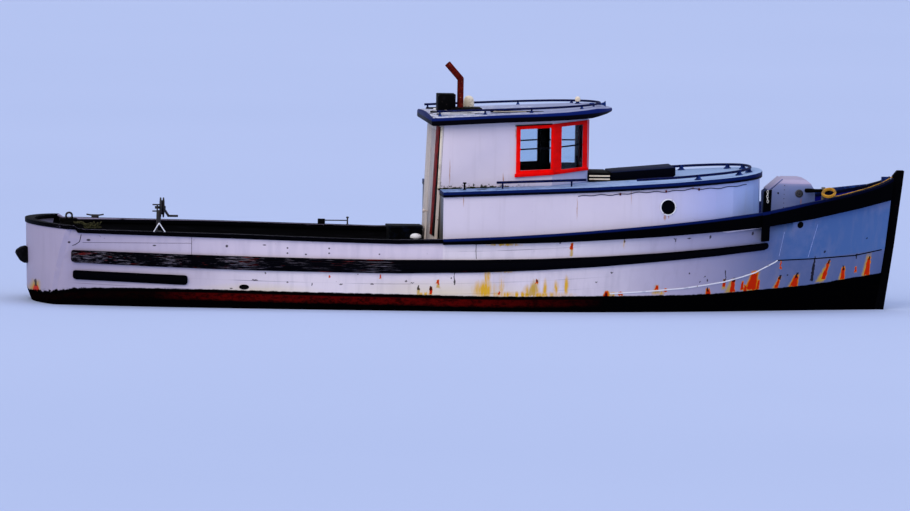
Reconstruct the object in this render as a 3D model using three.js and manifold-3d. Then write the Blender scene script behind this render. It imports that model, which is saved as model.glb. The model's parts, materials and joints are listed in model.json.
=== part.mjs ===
// A small wooden inshore fishing boat, afloat, as one assembly.
// Millimetres. +X is forward, +Y is port, +Z is up. The origin is amidships at the waterline.
import * as THREE from 'three';
import Module from 'manifold-3d';

const wasm = await Module();
wasm.setup();

// Driving dimensions
const GAP = 0.35;
const SIDE = [-1, 1];
const SIDE_NAME = { '-1': 'starboard', 1: 'port' };
const DECK_TOP = 620;
const DECK_THICK = 34;
const HULL_TOP_AFT = DECK_TOP - DECK_THICK - GAP;
const BULWARK_THICK = 45;
const TRANSOM_THICK = 50;
const CAP_THICK = 52;
const GUARD_OUT = 55;
const FOREDECK_DROP = 160;
const TRUNK_AFT = -430;
const TRUNK_WALL = 42;
const DECK_EDGE = 65;
const HOUSE_WALL = 40;
const HOUSE_HALF = 900;
const ROOF_EDGE = 87;
const ROOF_CAMBER = 45;
const PORT_RAIL_DROP = 6;
const CAP_OVERHANG_AFT = 12;
const DECK_CAMBER = 8;
const HATCH_SKIRT = 28;
const SOLE_Z = 280;
const KEEL_HALF = 62;
const STEM_HALF = 62;
const RUDDER_X = -4860;
const PROP_Z = -700;

// Hull table. Columns: x, sheer half-breadth, waterline half-breadth, bottom z.
const STATIONS = [
  [-5750, 1120, 800, 60],
  [-5400, 1175, 880, -30],
  [-5060, 1222, 960, -130],
  [-4500, 1288, 1085, -255],
  [-4000, 1340, 1180, -355],
  [-3200, 1402, 1280, -485],
  [-2400, 1441, 1345, -580],
  [-1600, 1468, 1388, -645],
  [-800, 1481, 1405, -680],
  [0, 1485, 1405, -700],
  [700, 1477, 1375, -708],
  [1400, 1441, 1290, -700],
  [2000, 1373, 1160, -690],
  [2600, 1265, 990, -670],
  [3100, 1136, 825, -645],
  [3600, 968, 635, -610],
  [4000, 806, 480, -570],
  [4400, 614, 325, -525],
  [4700, 454, 215, -485],
  [4950, 308, 125, -450],
  [5120, 198, 72, -425],
  [5230, 115, 40, -410],
  [5290, 60, 24, -400],
];

// Side-profile lines of the trim. Columns: x, z.
const SHEER = [
  [-5700, 985], [-5060, 965], [-4700, 957], [-3800, 942], [-3000, 930], [-2000, 903], [-1000, 886],
  [-430, 900], [300, 937], [1000, 985], [1550, 1030], [2300, 1098], [3000, 1172], [3630, 1250],
  [4280, 1376], [4680, 1450], [5000, 1525], [5200, 1590], [5350, 1668], [5445, 1740], [5700, 1900],
];
const GUARD_BOTTOM = [
  [-600, 826], [-430, 832], [300, 852], [1000, 876], [1550, 905], [2300, 952], [3000, 1006],
  [3630, 1062], [4280, 1160], [4900, 1285], [5300, 1380], [5600, 1450],
];
const STRAKE_TOP = [
  [-5100, 696], [-4000, 672], [-3000, 655], [-2000, 642], [-1000, 637], [0, 648], [800, 668],
  [1550, 701], [2300, 745], [3000, 800], [3700, 866],
];
const STRAKE_BOTTOM = [
  [-5100, 539], [-4000, 506], [-3000, 483], [-2000, 472], [-1000, 468], [0, 490], [800, 526],
  [1550, 574], [2300, 636], [3000, 700], [3700, 778],
];
const ROOF_LINE = [[-700, 2272], [-430, 2285], [300, 2330], [1000, 2360], [1500, 2386], [1900, 2402]];
const TRUNK_TOP = [
  [-600, 1473], [-430, 1483], [500, 1523], [1550, 1568], [2500, 1625], [3300, 1690], [3900, 1750],
];
const STEM_FACE = [
  [3960, -1005], [4350, -870], [4750, -625], [5030, -325], [5180, -110], [5242, 0], [5302, 400],
  [5358, 800], [5408, 1200], [5452, 1560], [5472, 1740],
];
const STEM_BACK = [
  [5325, 1740], [5312, 1560], [5282, 1200], [5240, 800], [5186, 400], [5114, 0], [5000, -240],
  [4775, -430], [4400, -545], [3960, -600],
];

const flatX = (rows, x) => {
  if (x <= rows[0][0]) {
    return rows[0][1];
  }
  for (let i = 1; i < rows.length; i += 1) {
    if (x <= rows[i][0]) {
      const t = (x - rows[i - 1][0]) / (rows[i][0] - rows[i - 1][0]);
      return rows[i - 1][1] + t * (rows[i][1] - rows[i - 1][1]);
    }
  }
  return rows[rows.length - 1][1];
};
const raise = (rows, dz) => rows.map(([x, z]) => [x, z + dz]);
const clip = (rows, x0, x1) => [
  [x0, flatX(rows, x0)],
  ...rows.filter(([x]) => x > x0 + 1 && x < x1 - 1),
  [x1, flatX(rows, x1)],
];

// Solids
const bodyOf = (geometry) => {
  const plain = geometry.index ? geometry.toNonIndexed() : geometry;
  const pos = plain.getAttribute('position').array;
  const ids = new Map();
  const verts = [];
  const tris = [];
  for (let i = 0; i < pos.length; i += 3) {
    const p = [pos[i], pos[i + 1], pos[i + 2]].map((v) => Math.round(v * 1000) / 1000);
    const key = p.join(',');
    if (!ids.has(key)) {
      ids.set(key, verts.length / 3);
      verts.push(...p);
    }
    tris.push(ids.get(key));
  }
  const keep = [];
  let volume = 0;
  for (let i = 0; i < tris.length; i += 3) {
    const [a, b, c] = [tris[i], tris[i + 1], tris[i + 2]];
    if (a !== b && b !== c && a !== c) {
      keep.push(a, b, c);
      const [p, q, r] = [a, b, c].map((k) => new THREE.Vector3(...verts.slice(k * 3, k * 3 + 3)));
      volume += p.dot(q.cross(r));
    }
  }
  if (volume < 0) {
    keep.reverse();
  }
  const mesh = new wasm.Mesh({
    numProp: 3,
    vertProperties: Float32Array.from(verts),
    triVerts: Uint32Array.from(keep),
  });
  return new wasm.Manifold(mesh);
};
const shapeOf = (points, holes = []) => {
  const shape = new THREE.Shape(points.map(([a, b]) => new THREE.Vector2(a, b)));
  for (const hole of holes) {
    shape.holes.push(new THREE.Path(hole.map(([a, b]) => new THREE.Vector2(a, b))));
  }
  return shape;
};
const extrude = (points, depth, holes) => new THREE.ExtrudeGeometry(shapeOf(points, holes), {
  depth,
  bevelEnabled: false,
  curveSegments: 8,
});
// Outline in plan (x, y), standing from z0 to z1.
const planPrism = (points, z0, z1, holes) => {
  const g = extrude(points, z1 - z0, holes);
  g.translate(0, 0, z0);
  return bodyOf(g);
};
// Outline in side view (x, z), reaching from y0 to y1.
const sidePrism = (points, y0, y1, holes) => {
  const g = extrude(points, y1 - y0, holes);
  g.rotateX(Math.PI / 2);
  g.translate(0, y1, 0);
  return bodyOf(g);
};
// Outline in end view (y, z), reaching from x0 to x1.
const endPrism = (points, x0, x1, holes) => {
  const g = extrude(points, x1 - x0, holes);
  g.applyMatrix4(new THREE.Matrix4().set(0, 0, 1, x0, 1, 0, 0, 0, 0, 1, 0, 0, 0, 0, 0, 1));
  return bodyOf(g);
};
const block = (x0, x1, y0, y1, z0, z1) => {
  const g = new THREE.BoxGeometry(x1 - x0, y1 - y0, z1 - z0);
  g.translate((x0 + x1) / 2, (y0 + y1) / 2, (z0 + z1) / 2);
  return bodyOf(g);
};
const AXIS_TURN = {
  x: new THREE.Matrix4().makeRotationZ(-Math.PI / 2),
  y: new THREE.Matrix4(),
  z: new THREE.Matrix4().makeRotationX(Math.PI / 2),
};
const rod = (radius, length, axis, centre, sides = 20) => {
  const g = new THREE.CylinderGeometry(radius, radius, length, sides);
  g.applyMatrix4(AXIS_TURN[axis]);
  g.translate(...centre);
  return bodyOf(g);
};
const ring = (radius, thick, axis, centre, around = 24, across = 8) => {
  const g = new THREE.TorusGeometry(radius, thick, across, around);
  if (axis === 'x') {
    g.rotateY(Math.PI / 2);
  }
  if (axis === 'y') {
    g.rotateX(Math.PI / 2);
  }
  g.translate(...centre);
  return bodyOf(g);
};
// A round bar swept along points; the ends stay closed.
const bar = (points, radius, sides = 10, steps = 0, tension = 0.5) => {
  const vecs = points.map((p) => new THREE.Vector3(...p));
  let path;
  if (steps > 0) {
    path = new THREE.CatmullRomCurve3(vecs, false, 'catmullrom', tension);
  } else {
    path = new THREE.CurvePath();
    for (let i = 1; i < vecs.length; i += 1) {
      path.add(new THREE.LineCurve3(vecs[i - 1], vecs[i]));
    }
  }
  const circle = [];
  for (let i = 0; i < sides; i += 1) {
    const t = (i * 2 * Math.PI) / sides;
    circle.push([radius * Math.cos(t), radius * Math.sin(t)]);
  }
  return bodyOf(new THREE.ExtrudeGeometry(shapeOf(circle), {
    steps: steps || vecs.length - 1,
    bevelEnabled: false,
    extrudePath: path,
  }));
};
const join = (...parts) => parts.reduce((a, b) => a.add(b));
const cut = (a, ...tools) => tools.reduce((s, t) => s.subtract(t), a);
const both = (a, ...parts) => parts.reduce((s, t) => s.intersect(t), a);
const below = (rows, x0, x1, floor = -1500) => sidePrism(
  [[x0, floor], [x1, floor], ...clip(rows, x0, x1).reverse()],
  -2200,
  2200,
);
const band = (low, high, x0, x1, y0 = -2200, y1 = 2200) => sidePrism(
  [...clip(low, x0, x1), ...clip(high, x0, x1).reverse()],
  y0,
  y1,
);
const halfSpace = (side, y = 0) => (side < 0
  ? block(-7000, 7000, -3000, -y, -2000, 4000)
  : block(-7000, 7000, y, 3000, -2000, 4000));
// Closed grid: rows of points that all run the same way round, capped at both ends.
const gridBody = (rows) => {
  const n = rows[0].length;
  const pos = [];
  const quad = (a, b, c, d) => {
    [a, b, c, a, c, d].forEach((p) => pos.push(...p));
  };
  for (let i = 0; i + 1 < rows.length; i += 1) {
    for (let j = 0; j < n; j += 1) {
      const k = (j + 1) % n;
      quad(rows[i][j], rows[i][k], rows[i + 1][k], rows[i + 1][j]);
    }
  }
  const cap = (row, turn) => {
    const mid = [0, 1, 2].map((c) => row.reduce((s, p) => s + p[c], 0) / n);
    for (let j = 0; j < n; j += 1) {
      const [from, to] = turn ? [j, (j + 1) % n] : [(j + 1) % n, j];
      [mid, row[from], row[to]].forEach((p) => pos.push(...p));
    }
  };
  cap(rows[0], false);
  cap(rows[rows.length - 1], true);
  const g = new THREE.BufferGeometry();
  g.setAttribute('position', new THREE.BufferAttribute(Float32Array.from(pos), 3));
  return bodyOf(g);
};

// Hull surface
const sheerZ = (x) => flatX(SHEER, x);
const LIFT = [0, 0.09, 0.2, 0.34, 0.5, 0.68, 0.86, 1, 1.22];
const DIVE = [1, 0.985, 0.94, 0.86, 0.74, 0.58, 0.38, 0.18];
const stemShift = (x, z) => {
  const w = Math.max(0, Math.min(1, (x - 3600) / 1690));
  const face = flatX([...STEM_BACK].reverse().map(([a, b]) => [b, a]), z);
  return w * w * (face - 5096);
};
const sectionAt = ([x, sheer, water, bottom], off) => {
  const half = (z) => {
    if (z >= 0) {
      const t = z / sheerZ(x);
      return water + (sheer - water) * (t ** 1.25);
    }
    const t = Math.min(1, z / bottom);
    return Math.max(30, water * ((1 - (t ** 2.1)) ** (1 / 1.9)));
  };
  const side = [];
  DIVE.forEach((t) => side.push([half(Math.min(0, bottom) * t), Math.min(0, bottom) * t]));
  LIFT.forEach((t) => side.push([half(sheerZ(x) * t), sheerZ(x) * t]));
  return side.map(([y, z]) => [x, Math.max(4, y + off), z]);
};
const loftCache = new Map();
const loft = (off = 0) => {
  if (!loftCache.has(off)) {
    const lists = STATIONS.map((row, i) => {
      const a = STATIONS[Math.max(0, i - 1)];
      const b = STATIONS[Math.min(STATIONS.length - 1, i + 1)];
      const slope = (b[1] - a[1]) / (b[0] - a[0]);
      const grow = Math.sqrt(1 + slope * slope);
      return sectionAt(row, off * grow).map(([x, y, z]) => [x + stemShift(x, z), y, z]);
    });
    const rows = lists.map((side) => [
      ...side.map(([x, y, z]) => [x, -y, z]).reverse(),
      ...side,
    ]);
    loftCache.set(off, gridBody(rows));
  }
  return loftCache.get(off);
};

// Everything ahead of the rounded stern face, moved forward by "inset".
const STERN_RADIUS = 2050;
const sternX = (y, z) => {
  const arc = STERN_RADIUS - Math.sqrt(Math.max(1, STERN_RADIUS ** 2 - y * y));
  const corner = Math.max(0, Math.abs(y) - 1080);
  const tuck = z < 160 ? 60 * (((160 - z) / 160) ** 1.1) : -0.03 * (z - 160);
  return -5486 + arc + (corner * corner) / 2000 + tuck;
};
const sternCache = new Map();
const stern = (inset = 0) => {
  if (!sternCache.has(inset)) {
    const zs = [-800, -300, -160, -60, 0, 60, 110, 160, 500, 2200];
    const ys = [];
    for (let y = -1600; y <= 1600; y += 80) {
      ys.push(y);
    }
    const rows = ys.map((y) => [
      [6500, y, zs[zs.length - 1]],
      ...[...zs].reverse().map((z) => {
        const slope = Math.min(1.2, Math.abs(y) / Math.sqrt(Math.max(1, STERN_RADIUS ** 2 - y * y)));
        return [sternX(y, z) + inset * Math.sqrt(1 + slope * slope), y, z];
      }),
      [6500, y, zs[0]],
    ]);
    sternCache.set(inset, gridBody(rows));
  }
  return sternCache.get(inset);
};

// Plan of the cabin trunk, one side; the other side is mirrored.
const TRUNK_SIDE = [
  [-430, 1447], [300, 1450], [900, 1436], [1400, 1408], [1900, 1355], [2300, 1296], [2700, 1215],
  [3015, 1125], [3228, 1025], [3388, 905], [3506, 750], [3585, 560], [3628, 330],
  [3642, 120],
];
const trunkPlan = (off, aft = TRUNK_AFT) => {
  const pts = TRUNK_SIDE.map(([x, y], i) => {
    const a = TRUNK_SIDE[Math.max(0, i - 1)];
    const b = TRUNK_SIDE[Math.min(TRUNK_SIDE.length - 1, i + 1)];
    const [dx, dy] = [b[0] - a[0], b[1] - a[1]];
    const len = Math.hypot(dx, dy);
    const x2 = i === 0 ? aft : x - (dy / len) * off;
    return [x2, y + (dx / len) * off];
  });
  return [...pts.map(([x, y]) => [x, -y]), ...[...pts].reverse()];
};
const housePlan = (off, aft = -700) => {
  const k = Math.tan(Math.PI / 8) * off;
  return [
    [aft, -HOUSE_HALF - off], [970 + k, -HOUSE_HALF - off], [1460 + off, -410 - k],
    [1460 + off, 410 + k], [970 + k, HOUSE_HALF + off], [aft, HOUSE_HALF + off],
  ];
};

const parts = new Map();
const put = (name, solid) => parts.set(name, solid);

// Keel, stem and the slot they share with the planking
const KEEL = [
  [-4420, -400], [-4480, -1085], [-5010, -1085], [-5010, -1150], [2900, -1150], [3450, -1118],
  [3959, -1006], [3959, -540], [3100, -585], [1400, -640], [-800, -620], [-2400, -520],
  [-3200, -425], [-4000, -295], [-4420, -200],
];
const STEM = [...STEM_FACE, [5384, 1740], [5326, 1668], ...STEM_BACK.slice(1)];
const growSide = (rows, d) => {
  const n = rows.length;
  return rows.map(([x, z], i) => {
    const a = rows[(i + n - 1) % n];
    const b = rows[(i + 1) % n];
    const u = [x - a[0], z - a[1]];
    const v = [b[0] - x, b[1] - z];
    const lu = Math.hypot(...u);
    const lv = Math.hypot(...v);
    const n1 = [u[1] / lu, -u[0] / lu];
    const n2 = [v[1] / lv, -v[0] / lv];
    const k = d / Math.max(0.3, 1 + n1[0] * n2[0] + n1[1] * n2[1]);
    return [x + (n1[0] + n2[0]) * k, z + (n1[1] + n2[1]) * k];
  });
};
const stemSlot = sidePrism(growSide(STEM, GAP), -STEM_HALF - GAP, STEM_HALF + GAP);
const keelSlot = sidePrism(growSide(KEEL, GAP), -KEEL_HALF - GAP, KEEL_HALF + GAP);
const noseOff = sidePrism(
  [[7000, -1600], [7000, 2500], [5300, 2500], ...STEM_BACK.slice(0, 9), [4400, -1600]],
  -3000,
  3000,
);
put('stem', sidePrism(STEM, -STEM_HALF, STEM_HALF));
const shaftBore = rod(18.1, 460, 'x', [-4260, 0, PROP_Z], 24);
put('keel', cut(sidePrism(KEEL, -KEEL_HALF, KEEL_HALF), shaftBore));

// Hull
const sideDeckPlan = (off) => {
  const nose = trunkPlan(off).filter(([x]) => x > 3100);
  const y = nose[0][1];
  return planPrism(
    [[TRUNK_AFT, -2000], [2990 + off, -2000], [2990 + off, y - 100], ...nose,
      [2990 + off, 100 - y], [2990 + off, 2000], [TRUNK_AFT, 2000]],
    -1600,
    2600,
  );
};
const sideDeck = sideDeckPlan(0);
const sideDeckClear = sideDeckPlan(GAP);
const hullShell = cut(both(loft(), stern(TRANSOM_THICK + GAP)), stemSlot, keelSlot, noseOff);
const foreLine = raise(SHEER, -FOREDECK_DROP - DECK_THICK - GAP);
const sideLine = raise(SHEER, -30);
const hullLow = join(
  both(hullShell, block(-6000, TRUNK_AFT + 1, -2200, 2200, -1500, HULL_TOP_AFT)),
  both(hullShell, below(foreLine, TRUNK_AFT, 5700)),
);
const hullHigh = both(hullShell, below(sideLine, TRUNK_AFT, 5000), sideDeck);
const well = block(TRUNK_AFT - 20, 2900, -780, 780, SOLE_Z, 2000);
const ENGINE = [-250, 750, -310, 310, -330, 420];
const engineBed = block(-250.3, 750.3, -310.3, 310.3, -330.3, 900);
const rudderBore = rod(26.7, 460, 'z', [RUDDER_X, 0, 10], 24);
put('hull', cut(join(hullLow, hullHigh), well, engineBed, rudderBore));
put('engine_block', block(...ENGINE));

// Transom board, aft bulwarks and their caps
const capLow = raise(SHEER, -CAP_THICK);
const capSeat = [
  [-5700, 975], [-4990, 951], [-4958, 911],
  ...capLow.filter(([x]) => x > -4800),
];
const transomBand = both(cut(stern(0), stern(TRANSOM_THICK)), loft());
put('transom', both(transomBand, below(raise(capSeat, -GAP), -5700, -4000, -220)));
const bulwarkRing = cut(loft(), loft(-BULWARK_THICK));
for (const s of SIDE) {
  const solid = both(
    bulwarkRing,
    stern(TRANSOM_THICK + GAP),
    halfSpace(s),
    band([[-6000, HULL_TOP_AFT + GAP], [0, HULL_TOP_AFT + GAP]], raise(capSeat, -GAP), -5600, -430.35),
  );
  put(`bulwark_${SIDE_NAME[s]}`, solid);
}
const deckInside = both(loft(-BULWARK_THICK - GAP), stern(TRANSOM_THICK + GAP));
put('aft_deck', both(deckInside, block(-5600, -430.35, -2000, 2000, DECK_TOP - DECK_THICK, DECK_TOP)));
const capRing = both(cut(loft(34), loft(-95)), stern(-34));
const capStern = cut(both(loft(34), stern(-CAP_OVERHANG_AFT)), both(loft(-95), stern(105)));
const CAP_SPLIT = -4900;
for (const s of SIDE) {
  const solid = both(capRing, halfSpace(s), band(capLow, SHEER, CAP_SPLIT, -430.35));
  put(`cap_rail_${SIDE_NAME[s]}`, solid);
}
put('cap_rail_stern', both(capStern, sidePrism(
  [[-5600, flatX(capSeat, -5600)], [-4990, 951], [-4958, 911], [CAP_SPLIT - GAP, 909.6],
    [CAP_SPLIT - GAP, 961], [-4952, 963], [-5010, 1000], [-5600, 1022]],
  -2000,
  2000,
)));

// Rub strakes, short fenders, stern bumper
const endCut = (x, z, r, dx, dz) => sidePrism(
  [[x - dx * 9, z - dz * 20], [x + dx * r, z - dz * 20], [x + dx * r, z],
    [x + dx * 0.3 * r, z + dz * 0.25 * r], [x, z + dz * 0.8 * r], [x - dx * 9, z + dz * 0.8 * r]],
  -2200,
  2200,
);
const worn = (name, low, high, x0, x1, out, r) => {
  const corners = join(
    endCut(x0, flatX(low, x0), r, 1, 1),
    endCut(x0, flatX(high, x0), r * 0.7, 1, -1),
    endCut(x1, flatX(low, x1), r, -1, 1),
    endCut(x1, flatX(high, x1), r * 0.7, -1, -1),
  );
  const mid = high.map(([x, z]) => [x, z - 0.3 * (z - flatX(low, x))]);
  const lowMid = low.map(([x, z]) => [x, z + 0.28 * (flatX(high, x) - z)]);
  for (const s of SIDE) {
    const wide = both(cut(loft(out * 0.62), loft(GAP)), band(low, high, x0, x1), halfSpace(s));
    const full = both(cut(loft(out), loft(GAP)), band(lowMid, mid, x0, x1), halfSpace(s));
    put(`${name}_${SIDE_NAME[s]}`, cut(join(wide, full), corners));
  }
};
worn('rub_strake', STRAKE_BOTTOM, STRAKE_TOP, -5030, 3700, 52, 45);
worn(
  'short_fender',
  [[-5100, 328], [-3500, 278]],
  [[-5100, 442], [-3500, 400]],
  -5000,
  -3590,
  40,
  40,
);
put('stern_bumper', cut(
  both(
    planPrism(
      [[-5380, -150], [-5380, 150], [-5560, 150], [-5625, 105], [-5645, 0], [-5625, -105],
        [-5560, -150]],
      440,
      680,
    ),
    sidePrism(
      [[-5400, 462], [-5540, 464], [-5578, 484], [-5634, 566], [-5645, 590], [-5632, 612],
        [-5572, 650], [-5520, 664], [-5400, 664]],
      -200,
      200,
    ),
  ),
  stern(-GAP),
));

// Sheer guards with their covering ledge and fender posts
const guardInner = planPrism(trunkPlan(GAP, -800), -100, 2600);
const foreInner = both(loft(-75), block(2990, 7000, -2200, 2200, -200, 3000));
for (const s of SIDE) {
  const face = both(
    cut(loft(GUARD_OUT), loft(GAP)),
    band(GUARD_BOTTOM, SHEER, TRUNK_AFT, 5420),
    halfSpace(s),
  );
  const ledge = both(
    cut(loft(GUARD_OUT), guardInner, foreInner),
    band(raise(SHEER, -30 + GAP), SHEER, TRUNK_AFT, 5420),
    halfSpace(s),
  );
  const post = both(
    cut(loft(98), loft(GAP)),
    sidePrism([[3600, 884], [3700, 892], [3700, 1560], [3600, 1556]], -2200, 2200),
    halfSpace(s),
  );
  put(`sheer_guard_${SIDE_NAME[s]}`, cut(join(face, ledge, post), stemSlot, noseOff));
}
for (const s of SIDE) {
  const wall = both(
    cut(loft(), loft(-60)),
    band(raise(foreLine, GAP), raise(SHEER, -30), 2990 + GAP, 5420),
    halfSpace(s, 0.2),
  );
  put(`bow_bulwark_${SIDE_NAME[s]}`, cut(wall, stemSlot, noseOff, sideDeckClear));
}
const MOORING_POST = [4420, -415];
const POST_HALF = 22;
const mooringBar = rod(20, 315, 'x', [4347.5, -423, 1499], 16);
const mooringPost = block(
  MOORING_POST[0] - POST_HALF,
  MOORING_POST[0] + POST_HALF,
  MOORING_POST[1] - POST_HALF,
  MOORING_POST[1] + POST_HALF,
  1222,
  1542,
);
const foreboards = cut(
  both(
    loft(-60 - GAP),
    band(raise(SHEER, -FOREDECK_DROP - DECK_THICK), raise(SHEER, -FOREDECK_DROP), 2990.4, 5400),
  ),
  sideDeckClear,
  stemSlot,
  noseOff,
);
put('foredeck', join(foreboards, mooringPost, mooringBar));

// Cabin trunk walls and the raised deck
const trunkBase = raise(sideLine, GAP);
const trunkHead = raise(TRUNK_TOP, -DECK_EDGE - GAP);
const trunkRing = planPrism(trunkPlan(0), -1600, 2600).subtract(
  planPrism(trunkPlan(-TRUNK_WALL, -388), -1600, 2600),
);
for (const s of SIDE) {
  const wall = cut(
    both(trunkRing, band(trunkBase, trunkHead, TRUNK_AFT, 3000), halfSpace(s, HOUSE_HALF + GAP)),
    rod(92, 400, 'y', [2390, s * 1280, 1320], 28),
  );
  put(`cabin_side_${SIDE_NAME[s]}`, wall);
}
put('cabin_front', both(trunkRing, band(trunkBase, trunkHead, 3000 + GAP, 4000)));
const camber = (x, y, rows, half, rise) => flatX(rows, x) + rise * (1 - Math.min(1, (y / half) ** 2));
const crowned = (rows, thick, half, rise) => {
  const list = [];
  for (const [x] of rows) {
    const row = [];
    for (let i = 0; i <= 12; i += 1) {
      const y = -1700 + (i * 3400) / 12;
      row.push([x, y, camber(x, y, rows, half, rise)]);
    }
    for (let i = 12; i >= 0; i -= 1) {
      const y = -1700 + (i * 3400) / 12;
      row.push([x, y, flatX(rows, x) - thick]);
    }
    list.push(row);
  }
  return gridBody(list);
};
const deckSlab = crowned(TRUNK_TOP, DECK_EDGE, 1500, DECK_CAMBER);
const hatchRim = (x) => 1642 + (x - 1775) * 0.061;
const coaming = cut(
  sidePrism([[1775, 1560], [2545, 1560], [2545, hatchRim(2545)], [1775, hatchRim(1775)]], -400, 400),
  block(1800, 2520, -375, 375, 1400, 1800),
);
const stairHole = planPrism(housePlan(-HOUSE_WALL - 30, -420), 1000, 2000);
put('raised_deck', cut(
  join(both(deckSlab, planPrism(trunkPlan(32, TRUNK_AFT - 4), 1000, 2200)), coaming),
  stairHole,
  block(-700, -380, -HOUSE_HALF - GAP, HOUSE_HALF + GAP, 1000, 2000),
  block(1800, 2520, -375, 375, 1400, 1800),
));

// Wheelhouse walls
const roofUnder = raise(ROOF_LINE, -GAP);
const houseRing = planPrism(housePlan(0), 500, 2600).subtract(
  planPrism(housePlan(-HOUSE_WALL), 400, 2700),
);
const deckUnderHouse = crowned(TRUNK_TOP, 700, 1500, DECK_CAMBER).translate([0, 0, GAP]);
const aftLean = (z) => -486 + (z - 900) * 0.0405;
const AFT_WALL = [
  [aftLean(620.4), 620.4], [aftLean(620.4) + 40, 620.4], [aftLean(2320) + 40, 2320],
  [aftLean(2320), 2320],
];
const aftClear = sidePrism(
  [[-1500, 300], [aftLean(300) + 40 + GAP, 300], [aftLean(2700) + 40 + GAP, 2700], [-1500, 2700]],
  -2000,
  2000,
);
const winLow = (x) => 1657 + 0.06 * (x - 515);
const winHigh = (x) => 2288 + 0.0635 * (x - 515);
const slant = (x0, x1, low, high) => [
  [x0, winLow(x0) + low], [x1, winLow(x1) + low], [x1, winHigh(x1) - high],
  [x0, winHigh(x0) - high],
];
const SIDE_PANE = slant(567, 950, 72, 46);
const CORNER_PANE = slant(1092, 1384, 54, 46);
const frontRect = (half, low, high) => [
  [-half, winLow(1460) + low], [half, winLow(1460) + low], [half, winHigh(1460) - high],
  [-half, winHigh(1460) - high],
];
const paneHoles = join(
  sidePrism(SIDE_PANE, -1200, 1200),
  sidePrism(CORNER_PANE, -1200, 1200),
  endPrism(frontRect(300, 72, 46), 1200, 1700),
);
const houseWalls = cut(
  both(houseRing, below(roofUnder, -600, 1800, 900)),
  deckUnderHouse,
  aftClear,
  paneHoles,
);
const CORNER_X = 985;
for (const s of SIDE) {
  const half = halfSpace(s, 395);
  put(`wheelhouse_side_${SIDE_NAME[s]}`, both(houseWalls, half, block(-700, CORNER_X, -950, 950, 0, 3000)));
  put(`wheelhouse_corner_${SIDE_NAME[s]}`, both(
    houseWalls,
    half,
    block(CORNER_X + GAP, 1600, -950, 950, 0, 3000),
  ));
}
put('wheelhouse_front', both(houseWalls, block(1300, 1600, -394.6, 394.6, 0, 3000)));
const DOOR = [-330, 330, 745, 2185];
const aftWall = both(
  sidePrism(AFT_WALL, -HOUSE_HALF, HOUSE_HALF),
  below(roofUnder, -800, 300, 400),
);
put('wheelhouse_aft', cut(aftWall, block(-800, 0, DOOR[0], DOOR[1], DOOR[2], DOOR[3])));
const doorSlab = sidePrism(
  [[aftLean(DOOR[2] + 5) + 4, DOOR[2] + 5], [aftLean(DOOR[2] + 5) + 34, DOOR[2] + 5],
    [aftLean(DOOR[3] - 5) + 34, DOOR[3] - 5], [aftLean(DOOR[3] - 5) + 4, DOOR[3] - 5]],
  DOOR[0] + 5,
  DOOR[1] - 5,
);
const knob = join(
  rod(9, 50, 'x', [aftLean(1150) - 12, 270, 1150], 14),
  rod(24, 22, 'x', [aftLean(1150) - 46, 270, 1150], 18),
);
const HINGE_OUT = 7.6;
const hinges = [980, 1950].map((z) => {
  const knuckle = new THREE.CylinderGeometry(7, 7, 90, 14);
  knuckle.rotateX(Math.PI / 2);
  knuckle.rotateY(Math.atan(0.0405));
  knuckle.translate(aftLean(z) - HINGE_OUT, -333, z);
  const leaf = sidePrism(
    [[aftLean(z - 40) - 7, z - 40], [aftLean(z - 40) + 8, z - 40], [aftLean(z + 40) + 8, z + 40],
      [aftLean(z + 40) - 7, z + 40]],
    -325,
    -270,
  );
  const strap = sidePrism(
    [[aftLean(z - 40) - 7, z - 40], [aftLean(z - 40) - 2, z - 40], [aftLean(z + 40) - 2, z + 40],
      [aftLean(z + 40) - 7, z + 40]],
    -334,
    -300,
  );
  return join(bodyOf(knuckle), leaf, strap);
});
put('wheelhouse_door', join(doorSlab, knob, ...hinges));

// Window frames stand on the walls, panes sit in the wall openings
const frameLayer = planPrism(housePlan(18), 1500, 2600).subtract(
  planPrism(housePlan(GAP), 1400, 2700),
);
const sashBar = (x0, x1) => {
  const at = (x) => (winLow(x) + winHigh(x)) / 2 + 20;
  return sidePrism([[x0, at(x0) - 9], [x1, at(x1) - 9], [x1, at(x1) + 9], [x0, at(x0) + 9]], -1200, 1200);
};
const FRAME_OUTLINE = [
  [515, winLow(515)], [1452, winLow(1452) + 22], [1452, winHigh(1452)], [515, winHigh(515)],
];
const frameFace = join(
  cut(
    sidePrism(FRAME_OUTLINE, -1200, 1200),
    sidePrism(SIDE_PANE, -1300, 1300),
    sidePrism(CORNER_PANE, -1300, 1300),
  ),
  sashBar(560, 957),
  sashBar(1085, 1390),
);
const sillFace = sidePrism(
  [[500, winLow(500) - 8], [1466, winLow(1466) + 10], [1466, winLow(1466) + 42],
    [500, winLow(500) + 34]],
  -1200,
  1200,
);
const sillLayer = planPrism(housePlan(44), 1500, 2600).subtract(
  planPrism(housePlan(GAP), 1400, 2700),
);
for (const s of SIDE) {
  put(`window_frame_${SIDE_NAME[s]}`, join(
    both(frameLayer, frameFace, halfSpace(s, 416)),
    both(sillLayer, sillFace, halfSpace(s, 416)),
  ));
}
const frontFace = cut(
  endPrism(frontRect(352, 0, 0), 1400, 1600),
  endPrism(frontRect(300, 72, 46), 1300, 1700),
);
const frontBar = block(1400, 1600, -310, 310, 2025, 2043);
put('window_frame_front', both(join(frontFace, frontBar), frameLayer));
const paneLayer = planPrism(housePlan(-17), 1500, 2600).subtract(
  planPrism(housePlan(-23), 1400, 2700),
);
const shrink = (rows) => growSide(rows, -0.5);
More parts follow.
